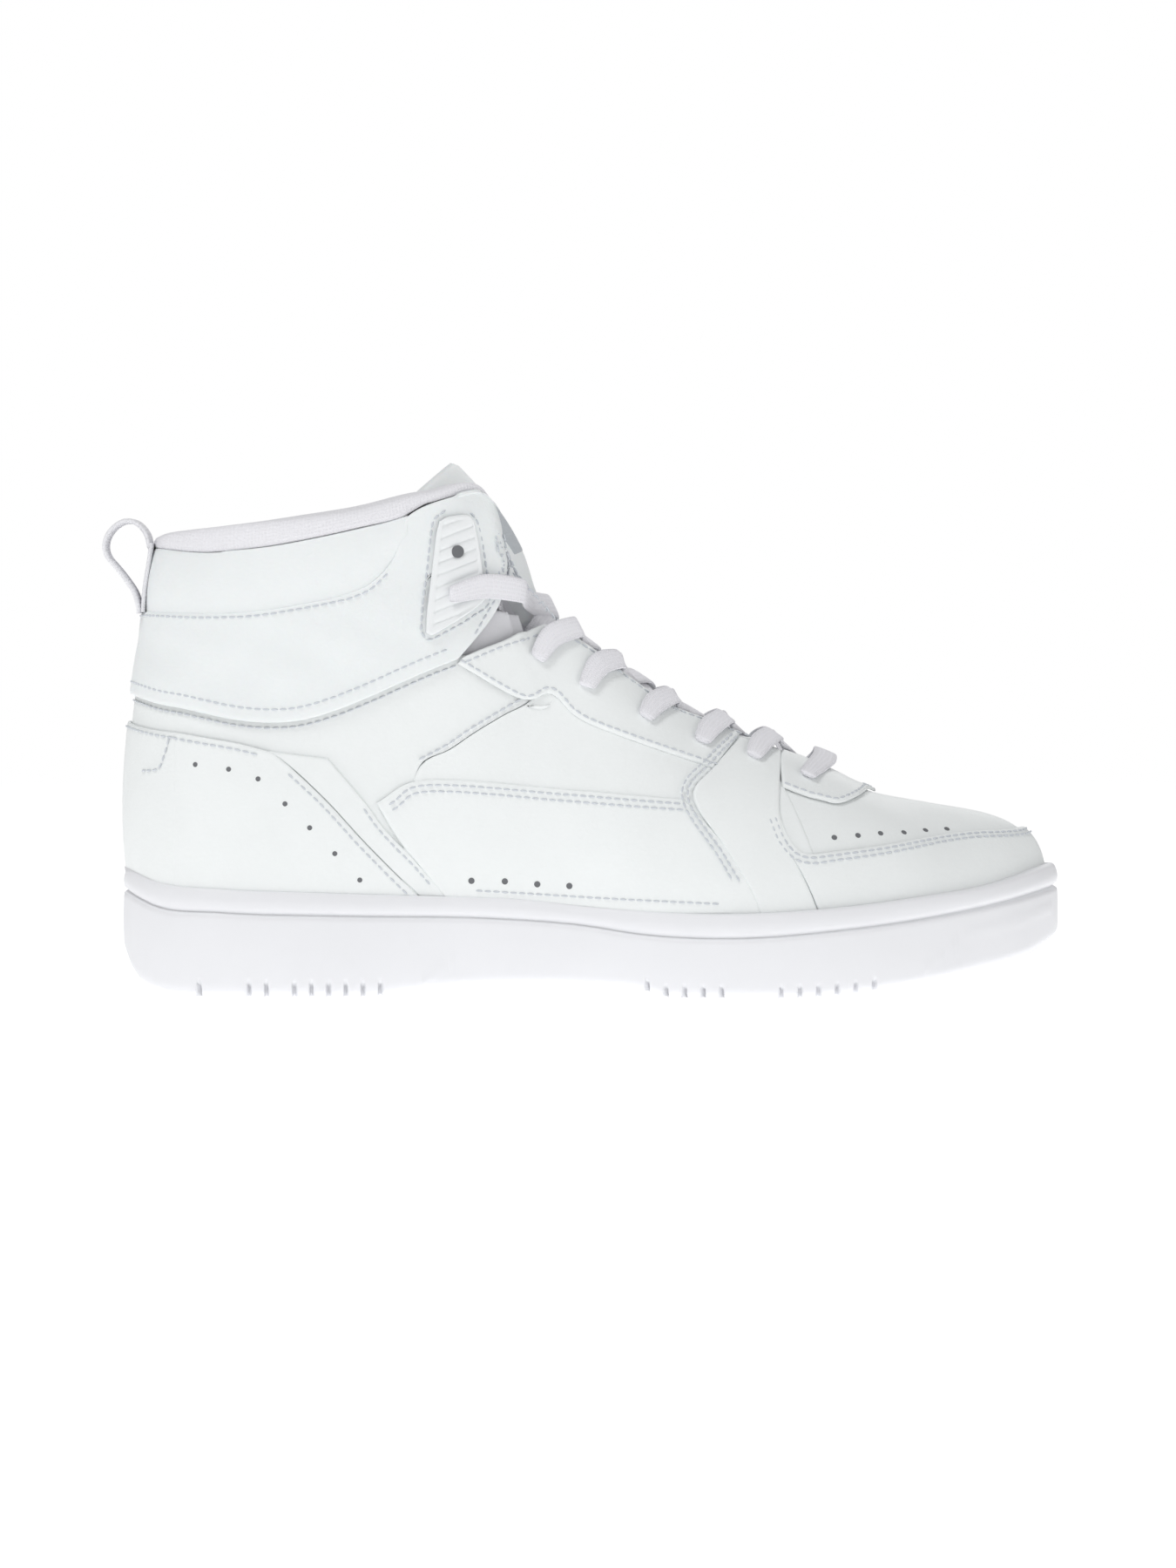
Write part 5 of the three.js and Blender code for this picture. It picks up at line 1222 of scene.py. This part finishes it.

# %% [markdown]
# ## Punched holes
# Rows of small holes air the shoe. Real holes would need cuts through several sheets. Here each is
# a thin disc of painted shade, dark like the shadow in a hole, a hair above the leather, which reads as a hole
# except from close by.

# %% Punched holes
DISC_ABOVE, DISC_BELOW, DISC_SIDES = 0.06, -0.6, 20
punch([[24.7, 73], [35, 71.6], [44.1, 68.6], [52.5, 60.8], [60.2, 53.3], [68, 45.2], [75.8, 36.9]], 0.8, 1.5)
punch([[111, 36.6], [121.6, 36.4], [131.9, 35.5], [142.1, 35]], 1.0, 1.4)
punch([[225.1, 50.2], [232.6, 50.8], [239.8, 51.4], [247.3, 51.6], [254.3, 52.2], [261.2, 52.5]], 0.9, 0.02)
punch(EYELETS[7:], 2.0, PLATE_OUT + 0.1)
hole_points, hole_faces = [], []
for centre_point, up_way, radius in HOLES:
    first = unit(np.cross(up_way, [0, 0, 1.0]))
    second = np.cross(up_way, first)
    start = len(hole_points)
    for lift_by in (DISC_ABOVE, DISC_BELOW):
        for k in range(DISC_SIDES):
            angle = k * 2 * math.pi / DISC_SIDES
            spoke = first * math.cos(angle) + second * math.sin(angle)
            hole_points.append(centre_point + radius * spoke + up_way * lift_by)
    low = start + DISC_SIDES
    hole_faces += [[start + k for k in range(DISC_SIDES)],
                   [low + DISC_SIDES - 1 - k for k in range(DISC_SIDES)]]
    hole_faces += [[start + k, low + k, low + (k + 1) % DISC_SIDES, start + (k + 1) % DISC_SIDES]
                   for k in range(DISC_SIDES)]
# Each disc is painted shade, where a hole would show only its shadow.
holes = make_object("punched_hole_shade_discs", np.array(hole_points), hole_faces, HOLE_PAINTED_SHADE, smooth=False)
place(holes, "shoe", "upper_leather")
print("punched holes", len(HOLES))

# %% [markdown]
# ## Sockliner
# A thin foam insole under cloth lies loose on the board and can be lifted out. It is a stack of
# loops like the sole's, which follows the footbed and is crowned a little.

# %% Sockliner
SOCK_COLUMNS = 240
SOCK_INSET = -8.6
sock_t = np.arange(SOCK_COLUMNS) / SOCK_COLUMNS


def sock_loop(out, rise):
    """A loop of the insole: its outline moved in, at a height above the footbed."""
    p = sole_edge(sock_t, np.full(SOCK_COLUMNS, SOCK_INSET + out))
    p[:, 2] = np.interp(p[:, 0], FOOTBED[:, 0], FOOTBED[:, 1]) + rise
    return p


sock_low, sock_high = sock_loop(-0.6, 2.3), sock_loop(-0.6, 6.2)
middle_line = np.column_stack([np.clip(sock_low[:, 0], 40, 250), 0 * sock_t, 0 * sock_t])


def sock_inner(edge, share, rise):
    """A row between the edge and the middle line, crowned a little."""
    p = edge * (1 - share) + middle_line * share
    p[:, 2] = np.interp(p[:, 0], FOOTBED[:, 0], FOOTBED[:, 1]) + rise
    return p


sock_rows = [sock_inner(sock_low, s, 2.3) for s in (1, 0.6, 0.2)]
sock_rows += [sock_low, sock_loop(-0.1, 3.0), sock_loop(-0.1, 5.2), sock_high]
sock_rows += [sock_inner(sock_high, s, 6.7 - 0.4 * s) for s in (0.08, 0.3, 0.6, 1)]
sock_grid = np.array(sock_rows).transpose(1, 0, 2)
sock_faces = grid_faces(SOCK_COLUMNS, sock_grid.shape[1], loop=True)
sock = make_object("sockliner_pad", sock_grid[::-1], sock_faces, TEXTILE)
weld(sock)
place(sock, "insole", "sockliner_foam", "sockliner")
print("sockliner faces", len(sock.data.polygons))

# %% [markdown]
# ## Inner pieces
# The wedge, boards, linings and aglets are hidden or nearly so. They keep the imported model's own
# shapes, and only get finishes.

# %% Inner pieces that stay as packed
INNER = {"midsole_wedge": FOAM, "strobel_board": BOARD, "heel_counter": BOARD, "toe_puff": BOARD,
         "vamp_lining": TEXTILE, "quarter_lining_medial": TEXTILE, "quarter_lining_lateral": TEXTILE,
         "aglet_medial": PLASTIC, "aglet_lateral": PLASTIC}
for node, material in INNER.items():
    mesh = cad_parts[node].data
    mesh.materials.clear()
    mesh.materials.append(material)
print("inner pieces", len(INNER))

# %% [markdown]
# ## Floor, light and camera
# A pale floor, a bright backdrop, three soft lights, and a long lens from the inner side of the
# shoe, a little above level.

# %% Floor, light and camera
floor_mesh = bpy.data.meshes.new("floor")
floor_mesh.from_pydata([(-4, -4, 0), (4, -4, 0), (4, 4, 0), (-4, 4, 0)], [], [(0, 1, 2, 3)])
floor_obj = bpy.data.objects.new("floor", floor_mesh)
bpy.context.scene.collection.objects.link(floor_obj)
FLOOR = finish_material("pale floor", (0.9, 0.9, 0.9), 0.9, [("noise", 3, 0.01)], vary=0.002)
floor_shader = FLOOR.node_tree.nodes["Principled BSDF"]
floor_shader.inputs["Emission Color"].default_value = (1, 1, 1, 1)
floor_shader.inputs["Emission Strength"].default_value = 0.62
floor_mesh.materials.append(FLOOR)

world = bpy.data.worlds.new("studio")
bpy.context.scene.world = world
world.use_nodes = True
# The backdrop is seen as white, and lights the shoe a little less than that.
SEEN, LIGHTING = 1.0, 0.42
world_nodes, world_links = world.node_tree.nodes, world.node_tree.links
rays = world_nodes.new("ShaderNodeLightPath")
strength = world_nodes.new("ShaderNodeMapRange")
strength.inputs["To Min"].default_value = LIGHTING
strength.inputs["To Max"].default_value = SEEN
world_links.new(rays.outputs["Is Camera Ray"], strength.inputs["Value"])
world_links.new(strength.outputs["Result"], world_nodes["Background"].inputs["Strength"])
world_nodes["Background"].inputs["Color"].default_value = (1, 1, 1, 1)


def soft_light(name, position, size, power):
    """A square soft light aimed at the middle of the shoe."""
    data = bpy.data.lights.new(name, "AREA")
    data.size = size
    data.energy = power
    light = bpy.data.objects.new(name, data)
    light.location = position
    light.rotation_euler = (Vector((0, 0, 0.07)) - Vector(position)).to_track_quat("-Z", "Y").to_euler()
    bpy.context.scene.collection.objects.link(light)


soft_light("key", (-0.6, -0.6, 1.5), 0.5, 9)
soft_light("fill", (1.3, -1.0, 0.6), 0.8, 2.5)
soft_light("back", (0.3, 1.4, 0.9), 0.8, 3)

# Metres: how far the camera is, how much height it sees, where it aims, and how far above its aim.
CAMERA_FAR = 3.0
FRAME_TALL = 0.4997
AIM_X, AIM_Z = 147.7 / 1000 + SHIFT[0] / 1000, 0.0663
CAMERA_ABOVE = 0.05
SENSOR = 36
camera_data = bpy.data.cameras.new("camera")
camera_data.sensor_fit = "VERTICAL"
camera_data.sensor_height = SENSOR
camera_data.lens = SENSOR * CAMERA_FAR / FRAME_TALL
camera = bpy.data.objects.new("camera", camera_data)
camera.location = (AIM_X, -CAMERA_FAR, AIM_Z + CAMERA_ABOVE)
camera.rotation_euler = (math.radians(90) - math.atan2(CAMERA_ABOVE, CAMERA_FAR), 0, 0)
bpy.context.scene.collection.objects.link(camera)
bpy.context.scene.camera = camera
bpy.context.scene.view_settings.view_transform = "Standard"
print("lens, mm", round(camera_data.lens))
